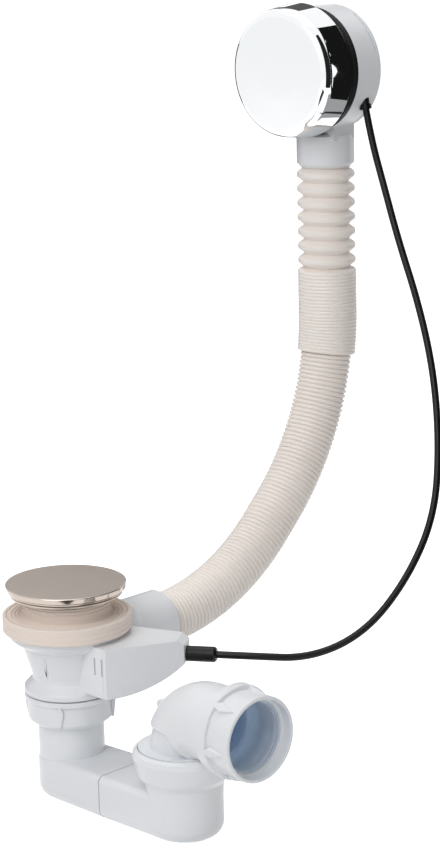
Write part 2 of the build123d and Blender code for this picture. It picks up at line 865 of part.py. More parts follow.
# Swivel elbow and its pipe joint
def make_outlet_elbow():
    start = Vector(0, 0, spigot_bottom)
    corner = Vector(0, 0, elbow_height)
    end = Vector(0, -elbow_end, elbow_height)
    path = FilletPolyline(start, corner, end, radius=elbow_bend)
    bottom = Plane(origin=start, z_dir=(0, 0, 1))
    skin = sweep(bottom * Circle(elbow_radius), path=path)
    # Hood: the horizontal leg overhangs the upright one along a slanting edge
    leg_path = FilletPolyline(start, corner, Vector(0, -coupling_start - 3.0, elbow_height), radius=elbow_bend)
    rise = hood_radius - elbow_radius
    leg = Pos(0, -rise, 0) * sweep(bottom * Circle(hood_radius), path=leg_path)
    far = 2 * elbow_end
    above = make_face(Polyline((far, hood_height), (hood_corner, hood_height), hood_front, (hood_front[0], -far),
                               (-far, -far), (-far, far), (far, far), close=True))
    hood = leg & (facing_out * extrude(above, far, both=True))
    trim = tube(cup_radius + 1.0, spigot_radius, spigot_bottom, cup_top + play)
    elbow = skin + hood - trim
    elbow += tube(elbow_flange_radius, spigot_radius - 1.0, cup_top - cup_recess + play, cup_top + 0.8)
    elbow += outward * tube(elbow_thread_radius, elbow_radius - 1.0, coupling_start + 1.5, elbow_end)
    # Eyelet on the outside of the bend
    bend_centre = Plane(origin=(0, -elbow_bend, elbow_height - elbow_bend), x_dir=(0, 1, 0), z_dir=(1, 0, 0))
    reach = elbow_bend + elbow_radius
    lug = Pos(reach + 2.0, 0) * Circle(eyelet_radius)
    lug += Pos(reach - 1.5, 0) * Rectangle(7.0, 2 * eyelet_radius - 1.0)
    lug -= Pos(reach + 2.0, 0) * Circle(eyelet_bore)
    elbow += bend_centre * (Rot(0, 0, eyelet_angle) * extrude(lug, eyelet_web / 2, both=True))
    bore = sweep(bottom * Circle(elbow_bore), path=path)
    socket = outward * rod(pipe_socket_radius, elbow_end - pipe_socket_depth, elbow_end)
    return elbow_frame * (elbow - bore - socket)


def make_elbow_seal():
    top = spigot_bottom - play
    ring = tube(spigot_radius + swivel_clearance, spigot_radius - pipe_wall, top - elbow_seal_thickness, top)
    return trap_cup_frame * ring


packing_end = elbow_end + packing_depth
lip_start = packing_end + slip_ring_depth


def make_compression_nut():
    """Nut with a rim at the back, pointed ribs that run forward from it, and a plain front ring."""
    lip_end = lip_start + coupling_lip
    nut = turned([
        (elbow_thread_radius, coupling_start),
        (coupling_rim_radius - 0.8, coupling_start),
        (coupling_rim_radius, coupling_start + 0.8),
        (coupling_rim_radius, coupling_rim_end - 0.4),
        (coupling_rim_radius - 0.4, coupling_rim_end),
        (coupling_radius, coupling_rim_end),
        (coupling_radius, coupling_ring_start - 0.6),
        (coupling_ring_radius, coupling_ring_start),
        (coupling_ring_radius, coupling_end - 0.8),
        (coupling_ring_radius - 0.8, coupling_end),
        (coupling_mouth_radius + 0.3, coupling_end),
        (coupling_mouth_radius, coupling_end - 0.3),
        (coupling_mouth_radius - 0.2, lip_end),
        (coupling_lip_radius, lip_end),
        (coupling_lip_radius, lip_start),
        (elbow_thread_radius, lip_start),
    ])
    slope = turned([
        (0, coupling_rim_end),
        (coupling_rim_radius - 0.2, coupling_rim_end),
        (coupling_radius + 0.3, coupling_ring_start),
        (0, coupling_ring_start),
    ])
    rib = leaf_rib(coupling_rim_end, coupling_ring_start - 0.6, coupling_rib_half, coupling_radius) & slope
    for index in range(coupling_ribs):
        nut += Rot(0, 0, coupling_rib_turn + index * 360 / coupling_ribs) * rib
    return elbow_frame * (outward * nut)


def make_compression_seal():
    ring = tube(elbow_thread_radius, pipe_socket_radius, elbow_end, packing_end)
    return elbow_frame * (outward * ring)


def make_slip_ring():
    ring = tube(elbow_thread_radius, slip_ring_bore, packing_end, lip_start)
    return elbow_frame * (outward * ring)


# Overflow knob, clamp and body
def make_overflow_knob():
    front = knob_front
    inner = knob_wall
    shell = turned([
        (0, front),
        (knob_front_radius - knob_edge, front),
        (knob_front_radius - 0.3 * knob_edge, front + 0.3 * knob_edge),
        (knob_front_radius, front + knob_edge),
        (knob_back_radius, knob_back),
        (knob_back_radius - inner, knob_back),
        (knob_front_radius - inner, front + knob_edge),
        (knob_front_radius - inner - 0.3 * knob_edge, front + inner + 0.3 * knob_edge),
        (knob_front_radius - knob_edge, front + inner),
        (0, front + inner),
    ])
    boss = rod(knob_boss_radius, front + inner, bearing_front - play)
    hole = rod(spindle_end_radius, spindle_front, clamp_front)
    return overflow_frame * (shell + boss - hole)


def make_knob_spindle():
    shoulder = bearing_front - play
    shaft = rod(spindle_end_radius, spindle_front, shoulder)
    shaft += rod(spindle_radius, shoulder, drum_start)
    shaft += rod(spindle_end_radius, drum_start, spindle_back)
    return overflow_frame * shaft


def make_overflow_flange():
    face_back = clamp_front + clamp_plate
    disc = rod(clamp_radius, clamp_front, face_back)
    rim = tube(clamp_radius, clamp_radius - clamp_rim, face_back, clamp_back)
    hub = rod(guide_radius, bearing_front, bearing_back)
    water = tube(clamp_radius - clamp_rim - 2.0, guide_radius + 2.5, clamp_front, face_back)
    arm = clamp_radius - clamp_rim
    arms = block((-arm, arm), (-clamp_arm_half, clamp_arm_half), (clamp_front, face_back))
    plate = disc + rim - water + arms + hub
    plate -= rod(spindle_radius + running_clearance, bearing_front, bearing_back)
    for side in (-1, 1):
        plate -= Pos(side * screw_circle, 0, 0) * rod(screw_radius, clamp_front, face_back)
    return overflow_frame * plate


def make_flange_screws():
    head_front = clamp_front - screw_head
    screw = rod(screw_head_radius, head_front, clamp_front) + rod(screw_radius, clamp_front, screw_end)
    screw -= block((-screw_head_radius, screw_head_radius), (-0.6, 0.6), (head_front, head_front + 1.4))
    pair = [overflow_frame * (Pos(side * screw_circle, 0, 0) * screw) for side in (-1, 1)]
    return Compound(children=pair)


def make_overflow_seal():
    seal_inner = overflow_opening + 0.8
    return overflow_frame * turned([
        (seal_inner, wall_face + 0.8),
        (seal_inner + 0.8, wall_face),
        (overflow_radius - 1.4, wall_face),
        (overflow_radius, wall_face + 1.4),
        (overflow_radius, overflow_front),
        (seal_inner, overflow_front),
    ])


def make_overflow_body():
    inner = overflow_radius - overflow_wall
    drum_case = rod(overflow_radius, overflow_front, overflow_back)
    drum_case -= rod(inner, overflow_front + overflow_wall, overflow_back)
    drum_case -= rod(overflow_opening, overflow_front, overflow_front + overflow_wall)
    boss = rod(screw_boss_radius, overflow_front, screw_end + 2.0)
    web = block((0, inner + 0.5 - screw_circle), (-1.2, 1.2), (overflow_front, screw_end))
    pilot = rod(screw_radius, overflow_front, screw_end)
    for turn in (0, 180):
        place = Rot(0, 0, turn) * Pos(screw_circle, 0, 0)
        drum_case += place * (boss + web)
        drum_case -= place * pilot
    # Arc slots near the back edge, where the rear cover's catches snap in
    slot_start = overflow_back - snap_slot_inset
    slot_ring = tube(overflow_radius + 1.0, inner - 1.0, slot_start, slot_start + snap_slot_width)
    far = 1.6 * overflow_radius
    for middle, spread in snap_slots:
        ends = [radians(middle - spread), radians(middle + spread)]
        wedge = make_face(Polyline((0, 0), *[(-far * cos(end), far * sin(end)) for end in ends], close=True))
        drum_case -= slot_ring & (Pos(0, 0, overflow_front) * extrude(wedge, overflow_depth))
    case = overflow_frame * drum_case
    # Spout, and the neck that joins it to the drum-shaped case
    spout = Pos(spout_x, 0, 0) * turned([
        (0, spout_bottom),
        (spout_radius - spout_bevel, spout_bottom),
        (spout_radius, spout_bottom + spout_bevel),
        (spout_radius, spout_top - 1.5),
        (spout_radius - 1.5, spout_top),
        (0, spout_top),
    ])
    neck_x = (overflow_front + 0.4, overflow_back)
    half = spout_neck_half - 1.25 * overflow_wall
    neck_outer = block(neck_x, (-spout_neck_half, spout_neck_half),
                       (spout_top - 4.0, overflow_height - overflow_radius + 2.8 * overflow_wall))
    neck_inner = block((neck_x[0] + overflow_wall, neck_x[1] - 1.5 * overflow_wall), (-half, half),
                       (spout_top - 8.0, overflow_height - overflow_radius + 3.4 * overflow_wall))
    spout_hole = Pos(spout_x, 0, 0) * rod(spout_bore, spout_bottom, spout_top - overflow_wall)
    chamber = overflow_frame * rod(inner, overflow_front + overflow_wall, overflow_back)
    gland = rod(gland_radius, -gland_in, gland_step)
    gland += rod(gland_radius + gland_collar, gland_step, 2 * gland_out)
    return case + (spout + (neck_outer - chamber)) - spout_hole - neck_inner - gland_frame() * gland


def make_overflow_rear_cover():
    back = overflow_back + rear_cover_depth
    cover = turned([
        (0, overflow_back),
        (overflow_radius, overflow_back),
        (overflow_radius, back - 1.6),
        (overflow_radius - 1.6, back),
        (0, back),
    ])
    inner = overflow_radius - overflow_wall
    cover += tube(inner - 0.2, inner - 2.0, overflow_back - 3.8, overflow_back)
    bore = spindle_end_radius + running_clearance
    bearing = tube(spindle_end_radius + 3.0, bore, spindle_back - 5.0, overflow_back)
    return overflow_frame * (cover + bearing)


# Cable drum on the spindle
drum_groove = lever_swing * 2 * crank_arm / radians(knob_turn)


def nipple_spot():
    return Pos(0, drum_groove, 0)


def make_cable_drum():
    drum = turned([
        (spindle_end_radius, drum_start),
        (drum_radius, drum_start),
        (drum_radius, drum_start + 2.2),
        (drum_groove, drum_start + 3.4),
        (drum_groove, drum_start + 4.6),
        (drum_radius, drum_start + 5.4),
        (drum_radius, drum_start + drum_depth),
        (spindle_end_radius, drum_start + drum_depth),
    ])
    drum -= nipple_spot() * rod(nipple_radius, drum_start + nipple_floor, drum_start + drum_depth)
    return overflow_frame * drum


def make_cable_nipple():
    barrel = rod(nipple_radius, drum_start + nipple_floor, drum_start + drum_depth - 0.4)
    return overflow_frame * (nipple_spot() * barrel)


# Overflow hose
def hose_path():
    corners = [
        (spout_x, 0, hose_top),
        (spout_x, 0, hose_corner_height),
        (hose_corner_reach, 0, socket_height),
        (socket_end - socket_depth, 0, socket_height),
    ]
    return FilletPolyline(*corners, radius=list(hose_bends))


def hose_stations(length):
    """Distances down the hose, each with its outer and inner radius, or None where that side runs on."""
    distance = hose_top - spout_bottom + 0.4
    stations = [(0.0, hose_spigot_radius, hose_bore), (distance - 0.2, hose_spigot_radius, None)]
    for _ in range(bellows_count):
        stations.append((distance, bellows_trough, hose_bore))
        stations.append((distance + 0.36 * bellows_pitch, bellows_crest, None))
        stations.append((distance + 0.49 * bellows_pitch, None, bellows_crest - 1.5 * hose_wall))
        stations.append((distance + 0.62 * bellows_pitch, bellows_crest, None))
        distance += bellows_pitch
    stations.append((distance, bellows_trough, hose_bore))
    distance += 1.6
    pitch = cuff_length / cuff_ribs
    for index in range(cuff_ribs):
        inside = cuff_radius - cuff_groove - hose_wall
        stations.append((distance, cuff_radius - cuff_groove, inside if index and index % 2 == 0 else None))
        stations.append((distance + 0.4 * pitch, cuff_radius, None))
        distance += pitch
    stations.append((distance, cuff_radius, None))
    distance += 0.8
    socket_entry = length - socket_depth
    count = int((socket_entry - distance) / rib_pitch)
    pitch = (socket_entry - distance) / count
    for index in range(count):
        stations.append((distance, rib_trough, rib_trough - hose_wall if index % 2 == 0 else None))
        stations.append((distance + 0.55 * pitch, rib_crest, None))
        distance += pitch
    stations.append((distance, rib_trough, rib_trough - hose_wall))
    stations.append((distance + 0.8, hose_end_radius, None))
    stations.append((length, hose_end_radius, rib_trough - hose_wall))
    return stations


def make_overflow_hose():
    path = hose_path()
    length = path.length
    outside = []
    inside = []
    for distance, outer, inner in hose_stations(length):
        share = distance / length
        plane = Plane(origin=path @ share, x_dir=(0, 1, 0), z_dir=path % share)
        if outer:
            outside.append(plane * Circle(outer))
        if inner:
            inside.append(plane * Circle(inner))
    return loft(outside, ruled=True, clean=False) - loft(inside, ruled=True, clean=False)


makers = [
    make_plug_cap, make_plug_carrier, make_plug_seal, make_plug_foot_screw, make_plug_locknut,
    make_waste_flange, make_waste_skirt, make_stem_guide, make_waste_seal, make_waste_body, make_mechanism_cover,
    make_rocker_lever, make_lever_pin, make_cable_slider, make_cable_core_end,
    make_cable_ferrule_lower, make_cable_sheath, make_cable_ferrule_upper,
    make_union_nut, make_union_seal, make_trap_inlet, make_trap_outlet,
    make_outlet_elbow, make_elbow_seal, make_compression_nut, make_compression_seal, make_slip_ring,
    make_overflow_knob, make_knob_spindle, make_overflow_flange, make_flange_screws,
    make_overflow_seal, make_overflow_body, make_overflow_rear_cover,
    make_cable_drum, make_cable_nipple, make_overflow_hose,
]

os.makedirs("parts", exist_ok=True)
for maker in makers:
    node = maker.__name__.removeprefix("make_")
    export_step(maker(), f"parts/{node}.step")
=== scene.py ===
"""Bath waste and overflow: the dressed model on its CAD frame.

Laid out as an add-on. Each operator makes one piece or a group of like pieces, and the panel lists
them with the sizes and finishes that a user would change. Shapes are modelled in millimetres and
end up in metres, in the frame of the CAD model.
"""

import json
from math import cos, pi, radians, sin, tau

import bmesh
import bpy
from bpy.props import FloatProperty, FloatVectorProperty, IntProperty, PointerProperty
from bpy.types import Operator, Panel, PropertyGroup
from mathutils import Matrix, Vector


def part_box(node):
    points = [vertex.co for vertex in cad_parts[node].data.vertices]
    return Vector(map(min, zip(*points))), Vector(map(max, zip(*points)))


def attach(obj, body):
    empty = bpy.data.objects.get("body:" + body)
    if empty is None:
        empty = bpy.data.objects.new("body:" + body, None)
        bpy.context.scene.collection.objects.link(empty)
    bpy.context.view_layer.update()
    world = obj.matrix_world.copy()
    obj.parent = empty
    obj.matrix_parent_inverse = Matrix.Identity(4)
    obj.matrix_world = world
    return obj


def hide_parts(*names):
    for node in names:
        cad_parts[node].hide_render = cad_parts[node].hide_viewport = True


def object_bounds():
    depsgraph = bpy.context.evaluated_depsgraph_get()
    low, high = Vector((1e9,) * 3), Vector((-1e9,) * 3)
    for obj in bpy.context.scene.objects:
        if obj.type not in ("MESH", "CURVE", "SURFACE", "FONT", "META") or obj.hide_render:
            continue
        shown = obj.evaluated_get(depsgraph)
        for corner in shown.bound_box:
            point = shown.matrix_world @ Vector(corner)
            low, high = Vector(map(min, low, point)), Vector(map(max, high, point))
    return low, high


bl_info = {
    "name": "Bath waste and overflow",
    "version": (1, 0, 0),
    "blender": (4, 5, 0),
    "location": "3D View > Sidebar > Bath waste",
    "description": "Builds a cable-operated bath waste with its overflow, hose and trap",
    "category": "Object",
}

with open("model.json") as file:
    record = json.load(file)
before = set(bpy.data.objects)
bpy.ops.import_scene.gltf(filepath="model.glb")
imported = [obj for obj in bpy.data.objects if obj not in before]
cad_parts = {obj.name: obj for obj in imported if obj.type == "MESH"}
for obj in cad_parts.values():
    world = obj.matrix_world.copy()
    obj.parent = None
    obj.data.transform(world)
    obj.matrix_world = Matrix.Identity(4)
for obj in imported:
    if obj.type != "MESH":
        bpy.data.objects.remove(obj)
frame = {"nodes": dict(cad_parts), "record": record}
cad_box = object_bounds()

MM = 0.001
IDENTITY = Matrix.Identity(4)

# The outlet elbow's bend: its radius, and the heights where it is level and where it starts
BEND = 24.0
BEND_HIGH = -39.4
BEND_LOW = BEND_HIGH - BEND

# Radii of the elbow: water's way, pipe socket, leg, hood, spigot in the trap's cup, flange and thread
ELBOW_BORE = 17.6
PIPE_SOCKET = 20.1
ELBOW_LEG = 19.6
ELBOW_HOOD = 22.4
ELBOW_SPIGOT = 21.2
ELBOW_FLANGE = 26.4
ELBOW_THREAD = 22.6

# Where the elbow starts at its foot and ends at its mouth
ELBOW_FOOT = -78.0
ELBOW_END = 53.5


def linear(code):
    """Scene-linear colour with full alpha from an sRGB hex code."""
    channels = [int(code[start:start + 2], 16) / 255 for start in (1, 3, 5)]
    return [c / 12.92 if c <= 0.04045 else ((c + 0.055) / 1.055) ** 2.4 for c in channels] + [1.0]


def axes(origin, across, ahead):
    """Frame at an origin whose X axis points across and whose Z axis points ahead."""
    z = Vector(ahead).normalized()
    x = Vector(across).normalized()
    y = z.cross(x)
    turn = Matrix((x, y, z)).transposed().to_4x4()
    return Matrix.Translation(origin) @ turn


def node_span(node):
    """Size of a CAD node along each axis, in metres."""
    low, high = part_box(node)
    return high - low


# Frames of the waste, in millimetres
overflow_middle = (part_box("overflow_knob")[0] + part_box("overflow_knob")[1]) / (2 * MM)
overflow_axis = axes((0, 0, overflow_middle.z), (0, 1, 0), (1, 0, 0))
outlet_frame = Matrix.Translation((0, -96, 0)) @ Matrix.Rotation(radians(-4.3), 4, "Z")
outlet_level = axes((0, 0, BEND_HIGH), (1, 0, 0), (0, -1, 0))
outlet_axis = outlet_frame @ outlet_level


class PlugSizes(PropertyGroup):
    """Sizes of the plug's cap and of the seal under the bath."""

    cap_radius: FloatProperty(
        name="Cap radius", description="Radius of the plug's steel cap",
        default=node_span("plug_cap").x / 2, min=0.02, unit="LENGTH")
    cap_edge: FloatProperty(
        name="Cap edge", description="Height of the polished edge of the cap",
        default=0.0032, min=0.0005, max=0.0034, unit="LENGTH")
    seal_radius: FloatProperty(
        name="Seal radius", description="Outer radius of the ribbed seal",
        default=node_span("waste_seal").x / 2, min=0.03, unit="LENGTH")


class NutSizes(PropertyGroup):
    """Grips of the union nut and the compression nut."""

    union_ribs: IntProperty(
        name="Union ribs", description="Pointed ribs round the union nut", default=4, min=2, max=12)
    coupling_ribs: IntProperty(
        name="Coupling ribs", description="Pointed ribs round the compression nut", default=6, min=3, max=12)
    rim_flat: FloatProperty(
        name="Rim flat", description="How far the compression nut's rim dips between two ribs",
        default=0.0005, min=0.0, max=0.002, unit="LENGTH")


class OverflowSizes(PropertyGroup):
    """Sizes of the turn knob."""

    knob_radius: FloatProperty(
        name="Knob radius", description="Radius of the knob at its back edge",
        default=node_span("overflow_knob").y / 2, min=0.02, unit="LENGTH")
    knob_depth: FloatProperty(
        name="Knob depth", description="Depth of the knob from its front to its back edge",
        default=node_span("overflow_knob").x, min=0.01, unit="LENGTH")
    knob_flare: FloatProperty(
        name="Knob flare", description="How much wider the knob is at its back than at its front",
        default=0.0023, min=0.0, unit="LENGTH")
    knob_edge: FloatProperty(
        name="Knob edge", description="Roundness of the knob's front edge",
        default=0.0065, min=0.001, unit="LENGTH")


class HoseSizes(PropertyGroup):
    """Sizes of the bellows, the ribbed cuff and the corrugated length of the hose."""

    bellows_count: IntProperty(name="Bellows", description="Folds below the spout", default=7, min=2, max=12)
    bellows_pitch: FloatProperty(
        name="Bellows pitch", description="Distance from fold to fold", default=0.0092, min=0.004, unit="LENGTH")
    bellows_crest: FloatProperty(
        name="Bellows crest", description="Outer radius of a fold",
        default=0.0184, min=0.016, unit="LENGTH")
    bellows_trough: FloatProperty(
        name="Bellows trough", description="Radius between two folds", default=0.0144, min=0.0135, unit="LENGTH")
    cuff_radius: FloatProperty(
        name="Cuff radius", description="Outer radius of the ribbed cuff", default=0.0188, min=0.015, unit="LENGTH")
    cuff_length: FloatProperty(
        name="Cuff length", description="Length of the ribbed cuff", default=0.054, min=0.02, unit="LENGTH")
    cuff_ribs: IntProperty(name="Cuff ribs", description="Ribs round the cuff", default=24, min=6, max=40)
    crest: FloatProperty(
        name="Rib crest", description="Outer radius of the corrugated length", default=0.0163, min=0.015,
        unit="LENGTH")
    trough: FloatProperty(
        name="Rib trough", description="Radius between two corrugations", default=0.0149, min=0.014, unit="LENGTH")
    pitch: FloatProperty(
        name="Rib pitch", description="Distance from corrugation to corrugation", default=0.003, min=0.0015,
        unit="LENGTH")


class CableSizes(PropertyGroup):
    """Sizes of the control cable."""

    diameter: FloatProperty(
        name="Cable diameter", description="Outside diameter of the cable's jacket", default=0.0044, min=0.002,
        unit="LENGTH")
    length: FloatProperty(
        name="Cable length", description="Length of the jacket between its end sleeves", default=0.440, min=0.1,
        unit="LENGTH")


def colour_setting(name, description, code):
    """Setting for a colour, which starts from an sRGB hex code."""
    return FloatVectorProperty(
        name=name, description=description, subtype="COLOR", size=4, min=0, max=1, default=linear(code))


class FinishColours(PropertyGroup):
    """Colours of the finishes."""

    white_plastic: colour_setting("White plastic", "Moulded bodies, nuts and trap", "#ECEEF1")
    # Pale blue painted on the white plastic inside the outlet: painted shade and sky reflection, not the plastic's
    # own colour
    outlet_painted_shade: colour_setting("Outlet painted shade", "Inside of the outlet", "#D6E5FA")
    hose: colour_setting("Hose", "Cream overflow hose", "#F8F0EA")
    seal: colour_setting("Seal", "Cream rubber seal under the bath", "#F4E7DD")
    steel: colour_setting("Satin steel", "Plug cap and seat", "#B2A79E")
    chrome: colour_setting("Chrome", "Turn knob", "#E0E2E4")
    black: colour_setting("Black", "Cable jacket and black seals", "#050506")


class StageSizes(PropertyGroup):
    """Light and floor of the stage."""

    key_power: FloatProperty(
        name="Key light", description="Power of the large soft light in front", default=15.0, min=0, unit="POWER")
    top_power: FloatProperty(
        name="Top light", description="Power of the soft light overhead", default=11.0, min=0, unit="POWER")
    daylight: FloatProperty(
        name="Daylight", description="Strength of the even light from all round", default=0.31, min=0, max=2)
    floor_colour: colour_setting("Floor", "Colour of the pale floor", "#F4F4F4")


class BathWasteSettings(PropertyGroup):
    """All the settings of the bath waste."""

    plug: PointerProperty(type=PlugSizes)
    nuts: PointerProperty(type=NutSizes)
    overflow: PointerProperty(type=OverflowSizes)
    hose: PointerProperty(type=HoseSizes)
    cable: PointerProperty(type=CableSizes)
    finish: PointerProperty(type=FinishColours)
    stage: PointerProperty(type=StageSizes)


# Shaping
def verts_of(geom):
    """Vertices among the results of an operation."""
    return [item for item in geom if isinstance(item, bmesh.types.BMVert)]


def edges_of(geom):
    """Edges among the results of an operation."""
    return [item for item in geom if isinstance(item, bmesh.types.BMEdge)]


def wire(bm, outline, closed, upright):
    """Edge chain through an outline's corners; a corner's third number rounds it over that distance."""
    corners = [bm.verts.new((p[0], 0, p[1]) if upright else (p[0], p[1], 0)) for p in outline]
    followers = corners[1:] + corners[:1] if closed else corners[1:]
    for corner, follower in zip(corners, followers):
        bm.edges.new((corner, follower))
    for corner, point in zip(corners, outline):
        if len(point) > 2:
            bmesh.ops.bevel(bm, geom=[corner], offset=point[2], offset_type="OFFSET",
                            segments=max(3, min(24, int(3 + 1.2 * point[2]))), profile=0.5, affect="VERTICES",
                            material=-1)


def settled(bm, place):
    """Merges doubles, turns the faces outwards and puts the shape in its place."""
    bmesh.ops.remove_doubles(bm, verts=bm.verts[:], dist=1e-4)
    bmesh.ops.recalc_face_normals(bm, faces=bm.faces[:])
    bmesh.ops.transform(bm, matrix=place, verts=bm.verts[:])
    return bm


def turned(outline, place=IDENTITY, closed=True, steps=96):
    """Shell of revolution about Z; an open outline starts and ends on the axis."""
    bm = bmesh.new()
    wire(bm, outline, closed, upright=True)
    bmesh.ops.spin(bm, geom=bm.verts[:] + bm.edges[:], cent=(0, 0, 0), axis=(0, 0, 1), angle=tau, steps=steps,
                   use_merge=True)
    return settled(bm, place)


def leaf_rib(wide, tip, half, foot, high, low):
    """Pointed rib along Z on the +X side: high where it is wide, low at its tip."""
    swell = wide + 0.3 * (tip - wide)
    bm = bmesh.new()
    outline = [(0.4 * half, wide), (half, swell), (0, tip), (-half, swell), (-0.4 * half, wide)]
    wire(bm, outline, True, upright=False)
    face = bmesh.ops.contextual_create(bm, geom=bm.edges[:])["faces"][0]
    top = bmesh.ops.extrude_face_region(bm, geom=[face])["geom"]
    for vertex in verts_of(top):
        share = (vertex.co.y - wide) / (tip - wide)
        bmesh.ops.translate(bm, vec=(0, 0, high + share * (low - high) - foot), verts=[vertex])
    crown = [edge for edge in bm.edges if min(v.co.z for v in edge.verts) > 0.5]
    bmesh.ops.bevel(bm, geom=crown, offset=0.35, offset_type="OFFSET", segments=3, profile=0.5, affect="EDGES",
                    material=-1)
    return settled(bm, axes((foot, 0, 0), (0, 1, 0), (1, 0, 0)))


def gathered(shapes):
    """One bmesh that holds several shapes, each a closed shell of its own."""
    whole = bmesh.new()
    for shape in shapes:
        mesh = bpy.data.meshes.new("shape")
        shape.to_mesh(mesh)
        shape.free()
        whole.from_mesh(mesh)
        bpy.data.meshes.remove(mesh)
    return whole


def ring_of(make, count, first, axis=IDENTITY):
    """Shapes set round Z at even angles."""
    shapes = []
    for index in range(count):
        shape = make()
        turn = Matrix.Rotation(radians(first + 360 * index / count), 3, "Z")
        bmesh.ops.rotate(shape, cent=(0, 0, 0), matrix=turn, verts=shape.verts[:])
        bmesh.ops.transform(shape, matrix=axis, verts=shape.verts[:])
        shapes.append(shape)
    return shapes


def prism(outline, depth, place):
    """Straight block from an outline, half its depth to each side of the place's XY plane."""
    bm = bmesh.new()
    wire(bm, outline, True, upright=False)
    face = bmesh.ops.contextual_create(bm, geom=bm.edges[:])["faces"][0]
    bmesh.ops.translate(bm, vec=(0, 0, -depth / 2), verts=bm.verts[:])
    top = bmesh.ops.extrude_face_region(bm, geom=[face])["geom"]
    bmesh.ops.translate(bm, vec=(0, 0, depth), verts=verts_of(top))
    return settled(bm, place)


def rod(radius, low, high, place=IDENTITY, steps=96):
    """Round bar along Z between two heights."""
    return turned([(0, low), (radius, low), (radius, high), (0, high)], place, closed=False, steps=steps)


def elbow_bar(radius, foot, reach):
    """Round bar that stands on a foot, bends over and runs level towards -Y; a solid with closed ends."""
    bm = bmesh.new()
    ring = bmesh.ops.create_circle(bm, cap_ends=True, segments=96, radius=radius)["verts"]
    bmesh.ops.translate(bm, vec=(0, 0, foot), verts=ring)
    rise = bmesh.ops.extrude_edge_only(bm, edges=bm.edges[:])["geom"]
    bmesh.ops.translate(bm, vec=(0, 0, BEND_LOW - foot), verts=verts_of(rise))
    bend = bmesh.ops.spin(bm, geom=edges_of(rise), cent=(0, -BEND, BEND_LOW), axis=(1, 0, 0), angle=pi / 2,
                          steps=32)
    run = bmesh.ops.extrude_edge_only(bm, edges=edges_of(bend["geom_last"]))["geom"]
    bmesh.ops.translate(bm, vec=(0, BEND - reach, 0), verts=verts_of(run))
    bmesh.ops.contextual_create(bm, geom=edges_of(run))
    return settled(bm, IDENTITY)


def combined(base, joined=(), cut=()):
    """One solid: a base with other solids joined to it, and then others cut out of it."""
    tools = [("UNION", shape) for shape in joined] + [("DIFFERENCE", shape) for shape in cut]
    objects = []
    for shape in [base] + [shape for _, shape in tools]:
        mesh = bpy.data.meshes.new("shape")
        shape.to_mesh(mesh)
        shape.free()
        objects.append(bpy.data.objects.new("shape", mesh))
        bpy.context.scene.collection.objects.link(objects[-1])
    for (operation, _), tool in zip(tools, objects[1:]):
        boolean = objects[0].modifiers.new(operation.lower(), "BOOLEAN")
        boolean.operation = operation
        boolean.solver = "EXACT"
        boolean.object = tool
    evaluated = objects[0].evaluated_get(bpy.context.evaluated_depsgraph_get())
    mesh = bpy.data.meshes.new_from_object(evaluated)
    result = bmesh.new()
    result.from_mesh(mesh)
    bpy.data.meshes.remove(mesh)
    for helper in objects:
        bpy.data.meshes.remove(helper.data)
    return result


def finished(bm, name, body, slot, node=None, finishes=(), sharp=32):
    """Piece from a bmesh in millimetres, riding on its body and standing for its CAD node; it has the finish
    of its slot, or those that are named for its faces."""
    bmesh.ops.scale(bm, vec=(MM, MM, MM), verts=bm.verts[:])
    mesh = bpy.data.meshes.new(name)
    bm.to_mesh(mesh)
    bm.free()
    for finish in finishes or [slot]:
        mesh.materials.append(finish_of(finish))
    mesh.shade_smooth()
    mesh.set_sharp_from_angle(angle=radians(sharp))
    piece = bpy.data.objects.new(name, mesh)
    bpy.context.scene.collection.objects.link(piece)
    weights = piece.modifiers.new("face weights", "WEIGHTED_NORMAL")
    weights.keep_sharp = True
    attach(piece, body)
    if node:
        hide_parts(node)


# Finishes. A colour mix shares its sockets' names with other mixes, so its two colours and result go by number
MIX_A = 6
MIX_B = 7
MIX_RESULT = 2


def add_node(tree, kind, settings, inputs):
    """Adds a node, sets its properties and fills its inputs with values or with other nodes' outputs."""
    node = tree.nodes.new(kind)
    for name, value in settings.items():
        setattr(node, name, value)
    for name, value in inputs.items():
        if isinstance(value, bpy.types.NodeSocket):
            tree.links.new(value, node.inputs[name])
        else:
            node.inputs[name].default_value = value
    return node


def new_finish(name, colour):
    """Empty material and its node tree; the display colour is the finish's own."""
    material = bpy.data.materials.new(name)
    material.use_nodes = True
    material.diffuse_color = colour
    material.node_tree.nodes.clear()
    return material, material.node_tree


def shaded(tree, inputs):
    """Principled surface with these inputs, wired to the material's output."""
    surface = add_node(tree, "ShaderNodeBsdfPrincipled", {}, inputs)
    add_node(tree, "ShaderNodeOutputMaterial", {}, {"Surface": surface.outputs["BSDF"]})


def shifted(colour, share):
    """Colour with its channels scaled, for the light and dark sides of a mottle."""
    return [min(1.0, c * share) for c in colour[:3]] + [1.0]


